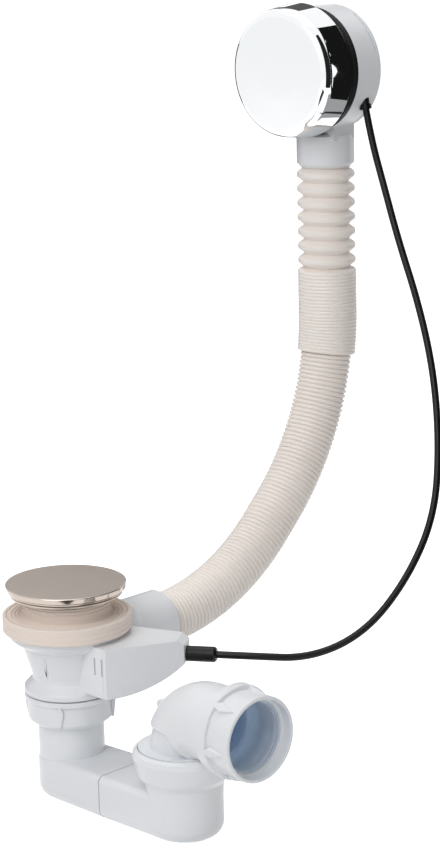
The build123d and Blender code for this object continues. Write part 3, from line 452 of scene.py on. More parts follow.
def moulded_polypropylene(name, colour, milky=0.12, reach=1.2):
    """Injection-moulded polypropylene: milky, half gloss, with faint flow clouds and soft edges; light goes some
    millimetres through it."""
    material, tree = new_finish(name, colour)
    place = add_node(tree, "ShaderNodeTexCoord", {}, {}).outputs["Object"]
    # Flow clouds about 14 mm across, and a skin of 0.5 mm ripples, drawn coarser than the real 0.1 mm to show
    clouds = add_node(tree, "ShaderNodeTexNoise", {}, {"Vector": place, "Scale": 1 / (14 * MM), "Detail": 3.0})
    skin = add_node(tree, "ShaderNodeTexNoise", {}, {"Vector": place, "Scale": 1 / (0.5 * MM), "Detail": 2.0})
    tint = add_node(tree, "ShaderNodeMix", {"data_type": "RGBA"}, {
        "Factor": clouds.outputs["Fac"], MIX_A: shifted(colour, 0.98), MIX_B: shifted(colour, 1.015)})
    gloss = add_node(tree, "ShaderNodeMapRange", {}, {
        "Value": clouds.outputs["Fac"], "From Min": 0.3, "From Max": 0.7, "To Min": 0.3, "To Max": 0.36})
    edges = add_node(tree, "ShaderNodeBevel", {"samples": 8}, {"Radius": 0.6 * MM})
    bump = add_node(tree, "ShaderNodeBump", {}, {
        "Height": skin.outputs["Fac"], "Strength": 0.04, "Distance": 0.1 * MM, "Normal": edges.outputs["Normal"]})
    shaded(tree, {"Base Color": tint.outputs[MIX_RESULT], "Roughness": gloss.outputs["Result"],
                  "Normal": bump.outputs["Normal"], "IOR": 1.49, "Subsurface Weight": milky,
                  "Subsurface Radius": (1.0, 1.0, 1.0), "Subsurface Scale": reach * MM})
    return material


def blown_polyethylene(name, colour):
    """Blow-moulded polyethylene: creamy, satin, a little translucent, with slow thickness clouds."""
    material, tree = new_finish(name, colour)
    place = add_node(tree, "ShaderNodeTexCoord", {}, {}).outputs["Object"]
    # Wall thickness drifts over about 30 mm, and the skin is drawn as 0.8 mm grain so that it shows
    clouds = add_node(tree, "ShaderNodeTexNoise", {}, {"Vector": place, "Scale": 1 / (30 * MM), "Detail": 4.0})
    grain = add_node(tree, "ShaderNodeTexNoise", {}, {"Vector": place, "Scale": 1 / (0.8 * MM), "Detail": 2.0})
    tint = add_node(tree, "ShaderNodeMix", {"data_type": "RGBA"}, {
        "Factor": clouds.outputs["Fac"], MIX_A: shifted(colour, 0.94), MIX_B: shifted(colour, 1.04)})
    gloss = add_node(tree, "ShaderNodeMapRange", {}, {
        "Value": grain.outputs["Fac"], "From Min": 0.3, "From Max": 0.7, "To Min": 0.36, "To Max": 0.46})
    bump = add_node(tree, "ShaderNodeBump", {}, {
        "Height": grain.outputs["Fac"], "Strength": 0.08, "Distance": 0.15 * MM})
    shaded(tree, {"Base Color": tint.outputs[MIX_RESULT], "Roughness": gloss.outputs["Result"],
                  "Normal": bump.outputs["Normal"], "IOR": 1.51, "Subsurface Weight": 0.2,
                  "Subsurface Radius": (1.0, 0.85, 0.7), "Subsurface Scale": 1.5 * MM})
    return material


def moulded_rubber(name, colour, rough, speck):
    """Compression-moulded rubber: matt, with a fine dusty grain."""
    material, tree = new_finish(name, colour)
    place = add_node(tree, "ShaderNodeTexCoord", {}, {}).outputs["Object"]
    # Bloom specks about 1.5 mm across over a 0.4 mm grain
    dust = add_node(tree, "ShaderNodeTexNoise", {}, {"Vector": place, "Scale": 1 / (1.5 * MM), "Detail": 5.0})
    grain = add_node(tree, "ShaderNodeTexNoise", {}, {"Vector": place, "Scale": 1 / (0.4 * MM), "Detail": 2.0})
    tint = add_node(tree, "ShaderNodeMix", {"data_type": "RGBA"}, {
        "Factor": dust.outputs["Fac"], MIX_A: shifted(colour, 1 - speck), MIX_B: shifted(colour, 1 + speck)})
    gloss = add_node(tree, "ShaderNodeMapRange", {}, {
        "Value": dust.outputs["Fac"], "From Min": 0.3, "From Max": 0.7, "To Min": rough - 0.06,
        "To Max": rough + 0.06})
    bump = add_node(tree, "ShaderNodeBump", {}, {
        "Height": grain.outputs["Fac"], "Strength": 0.15, "Distance": 0.1 * MM})
    shaded(tree, {"Base Color": tint.outputs[MIX_RESULT], "Roughness": gloss.outputs["Result"],
                  "Normal": bump.outputs["Normal"], "IOR": 1.52, "Specular IOR Level": 0.2})
    return material


def extruded_vinyl(name, colour):
    """Extruded black PVC jacket: half matt, with faint lines and scuffs from the die."""
    material, tree = new_finish(name, colour)
    place = add_node(tree, "ShaderNodeTexCoord", {}, {}).outputs["Object"]
    # Scuffs about 6 mm long over a 0.5 mm grain
    scuffs = add_node(tree, "ShaderNodeTexNoise", {}, {"Vector": place, "Scale": 1 / (6 * MM), "Detail": 5.0})
    grain = add_node(tree, "ShaderNodeTexNoise", {}, {"Vector": place, "Scale": 1 / (0.5 * MM), "Detail": 2.0})
    tint = add_node(tree, "ShaderNodeMix", {"data_type": "RGBA"}, {
        "Factor": scuffs.outputs["Fac"], MIX_A: shifted(colour, 0.85), MIX_B: shifted(colour, 1.25)})
    gloss = add_node(tree, "ShaderNodeMapRange", {}, {
        "Value": scuffs.outputs["Fac"], "From Min": 0.3, "From Max": 0.7, "To Min": 0.3, "To Max": 0.45})
    bump = add_node(tree, "ShaderNodeBump", {}, {
        "Height": grain.outputs["Fac"], "Strength": 0.1, "Distance": 0.1 * MM})
    shaded(tree, {"Base Color": tint.outputs[MIX_RESULT], "Roughness": gloss.outputs["Result"],
                  "Normal": bump.outputs["Normal"], "IOR": 1.53, "Specular IOR Level": 0.2})
    return material


def chrome_plate(name, colour):
    """Bright chrome on moulded plastic: a mirror with the slow waviness of the moulding under it."""
    material, tree = new_finish(name, colour)
    place = add_node(tree, "ShaderNodeTexCoord", {}, {}).outputs["Object"]
    # Waves about 18 mm across, and a haze of 3 mm polishing marks
    waves = add_node(tree, "ShaderNodeTexNoise", {}, {"Vector": place, "Scale": 1 / (18 * MM), "Detail": 1.0})
    haze = add_node(tree, "ShaderNodeTexNoise", {}, {"Vector": place, "Scale": 1 / (3 * MM), "Detail": 4.0})
    gloss = add_node(tree, "ShaderNodeMapRange", {}, {
        "Value": haze.outputs["Fac"], "From Min": 0.3, "From Max": 0.7, "To Min": 0.01, "To Max": 0.03})
    bump = add_node(tree, "ShaderNodeBump", {}, {
        "Height": waves.outputs["Fac"], "Strength": 0.01, "Distance": 0.2 * MM})
    shaded(tree, {"Base Color": colour, "Metallic": 1.0, "Roughness": gloss.outputs["Result"],
                  "Normal": bump.outputs["Normal"]})
    return material


def satin_steel(name, colour, rough):
    """Stainless steel spun and brushed round the waste's axis: fine circles, warm grey."""
    material, tree = new_finish(name, colour)
    place = add_node(tree, "ShaderNodeTexCoord", {}, {}).outputs["Object"]
    # Circles 0.35 mm apart round Z, drawn coarser than the real 0.05 mm so that they show
    flat = add_node(tree, "ShaderNodeVectorMath", {"operation": "MULTIPLY"}, {0: place, 1: (1.0, 1.0, 0.0)})
    reach = add_node(tree, "ShaderNodeVectorMath", {"operation": "LENGTH"}, {0: flat.outputs["Vector"]})
    circles = add_node(tree, "ShaderNodeTexNoise", {"noise_dimensions": "1D"}, {
        "W": reach.outputs["Value"], "Scale": 1 / (0.35 * MM), "Detail": 3.0})
    patches = add_node(tree, "ShaderNodeTexNoise", {}, {"Vector": place, "Scale": 1 / (20 * MM), "Detail": 3.0})
    tint = add_node(tree, "ShaderNodeMix", {"data_type": "RGBA"}, {
        "Factor": patches.outputs["Fac"], MIX_A: shifted(colour, 0.93), MIX_B: shifted(colour, 1.06)})
    gloss = add_node(tree, "ShaderNodeMapRange", {}, {
        "Value": circles.outputs["Fac"], "From Min": 0.25, "From Max": 0.75, "To Min": rough - 0.05,
        "To Max": rough + 0.07})
    bump = add_node(tree, "ShaderNodeBump", {}, {
        "Height": circles.outputs["Fac"], "Strength": 0.08, "Distance": 0.08 * MM})
    shaded(tree, {"Base Color": tint.outputs[MIX_RESULT], "Metallic": 1.0, "Roughness": gloss.outputs["Result"],
                  "Normal": bump.outputs["Normal"]})
    return material


def turned_metal(name, colour):
    """Plain turned metal, brass or steel: half bright, with patchy handling marks."""
    material, tree = new_finish(name, colour)
    place = add_node(tree, "ShaderNodeTexCoord", {}, {}).outputs["Object"]
    # Handling marks about 4 mm across
    marks = add_node(tree, "ShaderNodeTexNoise", {}, {"Vector": place, "Scale": 1 / (4 * MM), "Detail": 5.0})
    tint = add_node(tree, "ShaderNodeMix", {"data_type": "RGBA"}, {
        "Factor": marks.outputs["Fac"], MIX_A: shifted(colour, 0.85), MIX_B: shifted(colour, 1.08)})
    gloss = add_node(tree, "ShaderNodeMapRange", {}, {
        "Value": marks.outputs["Fac"], "From Min": 0.3, "From Max": 0.7, "To Min": 0.22, "To Max": 0.4})
    shaded(tree, {"Base Color": tint.outputs[MIX_RESULT], "Metallic": 1.0, "Roughness": gloss.outputs["Result"]})
    return material


def finish_of(slot):
    """The finish of a material slot: made once, then found by its name."""
    colours = bpy.context.scene.bath_waste.finish
    makers = {
        "chrome": ("chrome plate", chrome_plate, list(colours.chrome)),
        "satin_steel": ("satin stainless steel", satin_steel, list(colours.steel), 0.34),
        "polished_steel": ("polished stainless steel", satin_steel, list(colours.steel), 0.12),
        "plain_steel": ("plain steel", turned_metal, linear("#A8A9AB")),
        "brass": ("turned brass", turned_metal, linear("#C9A85C")),
        "white_plastic": ("moulded polypropylene", moulded_polypropylene, list(colours.white_plastic)),
        # Pale blue painted shade inside the outlet; the plastic itself is white
        "outlet_painted_shade": ("pale blue polypropylene", moulded_polypropylene, list(colours.outlet_painted_shade), 0.8, 5.0),
        "inner_plastic": ("moulded acetal", moulded_polypropylene, linear("#D9D9D6")),
        "cream_plastic": ("blown polyethylene", blown_polyethylene, list(colours.hose)),
        "cream_rubber": ("cream moulded rubber", moulded_rubber, list(colours.seal), 0.55, 0.03),
        "black_rubber": ("black moulded rubber", moulded_rubber, list(colours.black), 0.5, 0.12),
        "black_plastic": ("extruded vinyl", extruded_vinyl, list(colours.black)),
    }
    name, make, *values = makers[slot]
    return bpy.data.materials.get(name) or make(name, *values)


class BATHWASTE_OT_carried_parts(Operator):
    """Finishes of the CAD parts, each by its material slot"""

    bl_idname = "bathwaste.carried_parts"
    bl_label = "Carried-over parts"

    def execute(self, context):
        for part in frame["record"]["subparts"]:
            mesh = frame["nodes"][part["node"]].data
            mesh.materials.clear()
            mesh.materials.append(finish_of(part["material_slot"]))
        return {"FINISHED"}


class BATHWASTE_OT_plug(Operator):
    """Steel cap of the plug with its polished edge"""

    bl_idname = "bathwaste.plug"
    bl_label = "Plug"

    def execute(self, context):
        sizes = context.scene.bath_waste.plug
        radius = sizes.cap_radius / MM
        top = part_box("plug_cap")[1].z / MM
        under = top - sizes.cap_edge / MM
        cap = turned([
            (0, top - 5.5),
            (6, top - 5.5),
            (6, top - 1.4),
            (radius - 2.4, top - 1.4, 0.6),
            (radius - 3.0, top - 4.8),
            (radius - 1.7, top - 4.8, 0.3),
            (radius - 1.4, top - 3.9, 0.2),
            (radius - 1.7, top - 3.6),
            (radius - 0.9, under, 0.3),
            (radius - 0.2, under, 0.3),
            (radius, top, 0.6),
            (0, top),
        ], closed=False, steps=160)
        for face in cap.faces:
            middle = face.calc_center_median()
            face.material_index = int(middle.xy.length > radius - 2.0 and middle.z < top - 0.02)
        finished(cap, "cap", "plug", "satin_steel", "plug_cap", ["satin_steel", "polished_steel"])
        return {"FINISHED"}


class BATHWASTE_OT_seal(Operator):
    """Cream rubber seal: a collar through the bath's hole on a ring with concentric ribs"""

    bl_idname = "bathwaste.seal"
    bl_label = "Seal"

    def execute(self, context):
        radius = context.scene.bath_waste.plug.seal_radius / MM
        bore, collar, bead, under, top = 24.6, 26.5, 27.1, -9.3, 9.6
        outline = [(bore, under), (radius - 0.9, under), (radius, -8.4, 0.3)]
        for line in (-6.2, -3.1):
            outline += [(radius, line - 0.25), (radius - 0.25, line), (radius, line + 0.25)]
        outline += [(radius, 0.2, 0.3), (radius - 0.6, 0.8, 0.3), (radius - 2.2, 0.8, 0.3), (radius - 2.8, 0)]
        for rib in (33.4, 31.2, 29.0):
            outline += [(rib + 0.6, 0), (rib, 0.8, 0.3), (rib - 0.6, 0)]
        outline += [(collar, 0, 0.4)]
        for ring in (5.4, 7.4):
            outline += [(collar, ring), (bead, ring + 0.3, 0.15), (bead, ring + 0.7, 0.15), (collar, ring + 1.0)]
        outline += [(collar, top, 0.3), (bore, top, 0.3)]
        finished(turned(outline, steps=144), "seal_collar", "root", "cream_rubber", "waste_seal", sharp=40)
        return {"FINISHED"}


class BATHWASTE_OT_cone_rib(Operator):
    """Slim pointed rib on the waste body's cone"""

    bl_idname = "bathwaste.cone_rib"
    bl_label = "Cone rib"

    def execute(self, context):
        rib = leaf_rib(wide=-21.0, tip=-33.5, half=1.1, foot=24.0, high=26.9, low=23.5)
        bmesh.ops.rotate(rib, cent=(0, 0, 0), matrix=Matrix.Rotation(radians(194), 3, "Z"), verts=rib.verts[:])
        finished(rib, "cone_rib", "root", "white_plastic")
        return {"FINISHED"}


class BATHWASTE_OT_union_nut(Operator):
    """Union nut between the waste body and the trap, with pointed grip ribs"""

    bl_idname = "bathwaste.union_nut"
    bl_label = "Union nut"

    def execute(self, context):
        shell = turned([
            (21.7, -48),
            (27.3, -48, 0.8),
            (27.3, -51, 0.6),
            (25.5, -52.2, 0.6),
            (25.5, -63.4, 0.8),
            (21.2, -66.8, 0.5),
            (20.0, -66.8),
            (20.0, -64.4),
            (21.7, -64.4),
        ], steps=128)

        def rib():
            return leaf_rib(wide=-50.8, tip=-64.2, half=2.0, foot=24.6, high=27.9, low=26.6)

        ribs = ring_of(rib, context.scene.bath_waste.nuts.union_ribs, first=34.6)
        finished(gathered([shell, *ribs]), "union_ring", "root", "white_plastic", "union_nut")
        return {"FINISHED"}


class BATHWASTE_OT_elbow(Operator):
    """Swivel elbow: a slim upright leg under the hood of the level one, with an eyelet behind the bend"""

    bl_idname = "bathwaste.elbow"
    bl_label = "Elbow"

    def paint_shade_inside(self, shape):
        """Gives the faces that look at the water's way the pale blue finish: painted blue shade and reflection on
        the white plastic inside the outlet.
        """
        centre = Vector((0, -BEND, BEND_LOW))
        for face in shape.faces:
            middle = face.calc_center_median()
            if middle.z < BEND_LOW:
                spot = Vector((0, 0, middle.z))
            elif middle.y < -BEND:
                spot = Vector((0, middle.y, BEND_HIGH))
            else:
                spot = centre + BEND * (Vector((0, middle.y, middle.z)) - centre).normalized()
            away = middle - spot
            inside = away.length < PIPE_SOCKET + 0.2 and face.normal.dot(away) < 0.2 * away.length
            face.material_index = int(inside)

    def execute(self, context):
        side = axes((0, 0, 0), (0, 1, 0), (1, 0, 0))
        below_hood = prism([(120, -45), (-10, -45, 3), (-20.2, -62), (-20.2, -120), (120, -120)], 120, side)
        hood = combined(elbow_bar(ELBOW_HOOD, ELBOW_FOOT, 44.2), cut=[below_hood])
        bmesh.ops.translate(hood, vec=(0, -1.0, 0), verts=hood.verts[:])
        bend_middle = axes((0, -BEND, BEND_LOW), (0, 1, 0), (1, 0, 0)) @ Matrix.Rotation(radians(29), 4, "Z")
        eyelet = prism([(43, -3.5), (50, -4, 2.8), (52, 0, 1.6), (50, 4, 2.8), (43, 3.5)], 3.0, bend_middle)
        elbow = combined(
            elbow_bar(ELBOW_LEG, ELBOW_FOOT, ELBOW_END),
            joined=[
                hood,
                rod(ELBOW_SPIGOT, ELBOW_FOOT, -60.2),
                rod(ELBOW_FLANGE, -64.9, -59.6),
                rod(ELBOW_THREAD, ELBOW_END - 10, ELBOW_END, outlet_level),
                eyelet,
            ],
            cut=[
                elbow_bar(ELBOW_BORE, ELBOW_FOOT - 2, ELBOW_END + 2.5),
                rod(PIPE_SOCKET, ELBOW_END - 18, ELBOW_END + 2.5, outlet_level),
                rod(1.8, -4, 4, bend_middle @ Matrix.Translation((47.6, 0, 0)), steps=32),
            ])
        self.paint_shade_inside(elbow)
        bmesh.ops.transform(elbow, matrix=outlet_frame, verts=elbow.verts[:])
        # The inner faces carry the pale blue painted shade
        finishes = ["white_plastic", "outlet_painted_shade"]
        finished(elbow, "swivel_elbow", "elbow", "white_plastic", "outlet_elbow", finishes)
        return {"FINISHED"}


class BATHWASTE_OT_pipe_nut(Operator):
    """Compression nut that grips the waste pipe, with its packing and slip ring"""

    bl_idname = "bathwaste.pipe_nut"
    bl_label = "Pipe nut"

    def execute(self, context):
        sizes = context.scene.bath_waste.nuts
        rim, rim_end = 27.3, 49.2
        packing_end, slip_end = 57, 58.5
        first_rib = 10
        shell = turned([
            (ELBOW_THREAD, 42),
            (rim, 42, 0.9),
            (rim, rim_end, 0.6),
            (24.4, rim_end, 0.5),
            (24.4, 61.9),
            (25.0, 62.5, 0.3),
            (25.0, 66.5, 0.8),
            (23.0, 66.5, 0.3),
            (22.8, 60.0),
            (21.4, 60.0, 0.2),
            (21.4, slip_end),
            (ELBOW_THREAD, slip_end),
        ], steps=144)
        dip = sizes.rim_flat / MM
        for vertex in shell.verts:
            if vertex.co.xy.length > rim - 2 and vertex.co.z < rim_end + 0.3:
                turn = vertex.co.xy.angle_signed(Vector((1, 0)), 0) - radians(first_rib)
                vertex.co.xy *= 1 - dip * (0.5 - 0.5 * cos(sizes.coupling_ribs * turn)) / rim
        bmesh.ops.transform(shell, matrix=outlet_axis, verts=shell.verts[:])

        def rib():
            return leaf_rib(wide=48.6, tip=62.3, half=2.9, foot=23.6, high=27.5, low=25.2)

        ribs = ring_of(rib, sizes.coupling_ribs, first_rib, outlet_axis)
        finished(gathered([shell, *ribs]), "pipe_nut", "elbow", "white_plastic", "compression_nut")
        # The packing ring and slip washer take the outlet's pale blue painted shade in place of a colour of their
        # own
        rings = (
            ("packing_ring", "compression_seal", PIPE_SOCKET, ELBOW_END, packing_end, 0.3),
            ("slip_washer", "slip_ring", 20.6, packing_end, slip_end, 0.2),
        )
        for name, node, bore, low, high, edge in rings:
            outline = [(bore, low, edge), (ELBOW_THREAD, low), (ELBOW_THREAD, high), (bore, high, edge)]
            ring = turned(outline, outlet_axis)
            finished(ring, name, "elbow", "white_plastic", node, ["outlet_painted_shade"])
        return {"FINISHED"}


class BATHWASTE_OT_overflow(Operator):
    """Chromed turn knob and the black seal behind it"""

    bl_idname = "bathwaste.overflow"
    bl_label = "Overflow"

    def execute(self, context):
        sizes = context.scene.bath_waste.overflow
        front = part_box("overflow_knob")[0].x / MM
        back = front + sizes.knob_depth / MM
        wide = sizes.knob_radius / MM
        face = wide - sizes.knob_flare / MM
        edge = sizes.knob_edge / MM
        wall = 1.6
        boss, boss_end = 9, front + 16.7
        bore, bore_end = 4, front + 4.6
        knob = turned([
            (0, front),
            (face - 14, front + 0.3, 10),
            (face, front + 0.9, edge),
            (wide, back, 0.3),
            (wide - wall, back, 0.3),
            (face - wall, front + 2.6, edge - 1),
            (boss, front + wall),
            (boss, boss_end),
            (bore, boss_end),
            (bore, bore_end),
            (0, bore_end),
        ], overflow_axis, closed=False, steps=160)
        finished(knob, "turn_knob", "knob", "chrome", "overflow_knob")
        seal = turned([
            (27.3, 216.3),
            (28.1, 215.5, 0.3),
            (39.0, 215.5, 1.4),
            (39.0, 218.6),
            (38.6, 219.0),
            (38.6, 219.6),
            (39.0, 220.0),
            (39.0, 223.5, 0.4),
            (27.3, 223.5),
        ], overflow_axis, steps=128)
        finished(seal, "wall_seal", "root", "black_rubber", "overflow_seal")
        return {"FINISHED"}


# Hose route from its top: straight runs, and bends with a radius, in millimetres
HOSE_ROUTE = ((111.81, 0), (134.43, 165.0), (15.33, 0), (105.85, 140.0), (16.0, 0))
HOSE_LENGTH = sum(length for length, radius in HOSE_ROUTE)

# Radii of the hose: its neck on the spout, its end in the socket and its bore
HOSE_NECK = 15.7
HOSE_END = 16.2
HOSE_BORE = 13.2


def hose_place(distance):
    """Frame on the hose's middle line at a distance from its top: down, round two bends, then level."""
    place = Matrix.Translation((235, 0, 257)) @ Matrix.Rotation(pi, 4, "X")
    for length, radius in HOSE_ROUTE:
        step = max(0.0, min(distance, length))
        distance -= length
        if radius:
            place = (place @ Matrix.Translation((-radius, 0, 0)) @ Matrix.Rotation(-step / radius, 4, "Y")
                     @ Matrix.Translation((radius, 0, 0)))
        else:
            place = place @ Matrix.Translation((0, 0, step))
    return place


class BATHWASTE_OT_hose(Operator):
    """Cream overflow hose: bellows, ribbed cuff and corrugated length in one moulding"""

    bl_idname = "bathwaste.hose"
    bl_label = "Hose"

    def stations(self, sizes):
        """Distances down the hose with the radius there."""
        crest = sizes.bellows_crest / MM
        trough = sizes.bellows_trough / MM
        fold = sizes.bellows_pitch / MM
        marks = [(0.0, HOSE_NECK), (17.2, HOSE_NECK)]
        start = 17.4
        shape = ((0.0, 0.0), (0.05, 0.06), (0.29, 0.82), (0.35, 0.96), (0.42, 1.0),
                 (0.56, 1.0), (0.63, 0.96), (0.69, 0.82), (0.95, 0.06))
        for _ in range(sizes.bellows_count):
            marks += [(start + share * fold, trough + rise * (crest - trough)) for share, rise in shape]
            start += fold
        marks.append((start, trough))
        start += 1.2
        cuff = sizes.cuff_radius / MM
        pitch = sizes.cuff_length / MM / sizes.cuff_ribs
        marks += [(start, cuff - 1.2), (start + 0.4, cuff - 0.6)]
        for index in range(sizes.cuff_ribs):
            marks += [(start + (index + share) * pitch + 0.4, cuff - drop)
                      for share, drop in ((0.12, 0.55), (0.32, 0.08), (0.5, 0.0), (0.75, 0.08), (0.95, 0.5))]
        start += sizes.cuff_length / MM + 0.4
        crest = sizes.crest / MM
        trough = sizes.trough / MM
        marks += [(start + 0.3, cuff - 0.8), (start + 0.8, trough)]
        start += 0.8
        end = HOSE_LENGTH - HOSE_ROUTE[-1][0]
        count = round((end - start) / (sizes.pitch / MM))
        pitch = (end - start) / count
        for index in range(count):
            marks += [(start + (index + share) * pitch, trough + rise * (crest - trough))
                      for share, rise in ((0.1, 0.0), (0.24, 0.8), (0.4, 1.0), (0.7, 1.0), (0.86, 0.8))]
        marks += [(end, trough), (end + 0.8, HOSE_END), (HOSE_LENGTH, HOSE_END)]
        inside = [(HOSE_LENGTH - step, HOSE_BORE) for step in range(0, int(HOSE_LENGTH), 12)]
        return marks + inside + [(0.0, HOSE_BORE)]

    def execute(self, context):
        marks = self.stations(context.scene.bath_waste.hose)
        bm = bmesh.new()
        ring = bmesh.ops.create_circle(bm, segments=72, radius=1)["verts"]
        start_edges = bm.edges[:]
        edges = start_edges
        place = IDENTITY
        for index, (distance, radius) in enumerate(marks):
            if index:
                step = bmesh.ops.extrude_edge_only(bm, edges=edges)["geom"]
                ring = verts_of(step)
                edges = edges_of(step)
            target = hose_place(distance) @ Matrix.Diagonal((radius, radius, 1, 1))
            bmesh.ops.transform(bm, matrix=target @ place.inverted(), verts=ring)
            place = target
        bmesh.ops.bridge_loops(bm, edges=edges + start_edges)
        finished(settled(bm, IDENTITY), "ribbed_hose", "root", "cream_plastic", "overflow_hose", sharp=70)
        return {"FINISHED"}


# Route of the control cable from the lift chamber to the overflow, in millimetres
CABLE_ROUTE = (
    (48.63, -76.33, -22.3), (59.37, -93.19, -22.3), (87.0, -116.0, -26.0), (117.0, -133.0, -13.91),
    (147.0, -140.5, 13.91), (175.0, -138.5, 46.86), (195.0, -125.5, 85.85), (210.0, -109.0, 124.85),
    (221.0, -88.5, 162.03), (227.5, -66.5, 200.12), (233.2, -50.5, 230.96), (236.0, -38.19, 258.4),
    (236.0, -33.69, 277.89),
)


class BATHWASTE_OT_cable(Operator):
    """Black control cable, standing in for the CAD sheath"""

    bl_idname = "bathwaste.cable"
    bl_label = "Cable"

    def execute(self, context):
        sizes = context.scene.bath_waste.cable
        curve =bpy.data.curves.new("control_cable", "CURVE")
        curve.dimensions = "3D"
        curve.bevel_depth = sizes.diameter / 2
        curve.bevel_resolution = 6
        curve.resolution_u = 24
        curve.use_fill_caps = True
        spline = curve.splines.new("NURBS")
        spline.points.add(len(CABLE_ROUTE) - 1)
        for point, spot in zip(spline.points, CABLE_ROUTE):
            point.co = (*[value * MM for value in spot], 1)
        spline.order_u = 3
        spline.use_endpoint_u = True
        curve.materials.append(finish_of("black_plastic"))
        cable = bpy.data.objects.new("control_cable", curve)
        context.scene.collection.objects.link(cable)
        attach(cable, "root")
        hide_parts("cable_sheath")
        return {"FINISHED"}


def aimed(position, target):
    """Matrix of a light that stands at a position and points at a target, in metres."""
    turn = (Vector(target) - Vector(position)).to_track_quat("-Z", "Y")
    return Matrix.Translation(position) @ turn.to_matrix().to_4x4()


def flat_sheet(name, wide, high, place, material):
    """Flat rectangle of the stage, in metres."""
    bm = bmesh.new()
    bmesh.ops.create_grid(bm, x_segments=1, y_segments=1, size=0.5)
    bmesh.ops.scale(bm, vec=(wide, high, 1), verts=bm.verts[:])
    bmesh.ops.transform(bm, matrix=place, verts=bm.verts[:])
    mesh = bpy.data.meshes.new(name)
    bm.to_mesh(mesh)
    bm.free()
    mesh.materials.append(material)
    sheet = bpy.data.objects.new(name, mesh)
    bpy.context.scene.collection.objects.link(sheet)
    return sheet


# The floor's side in metres, the extra white that it shows, and how bright the surroundings look
FLOOR_SIDE = 24
FLOOR_LIFT = 0.9
SURROUNDINGS = 1.25


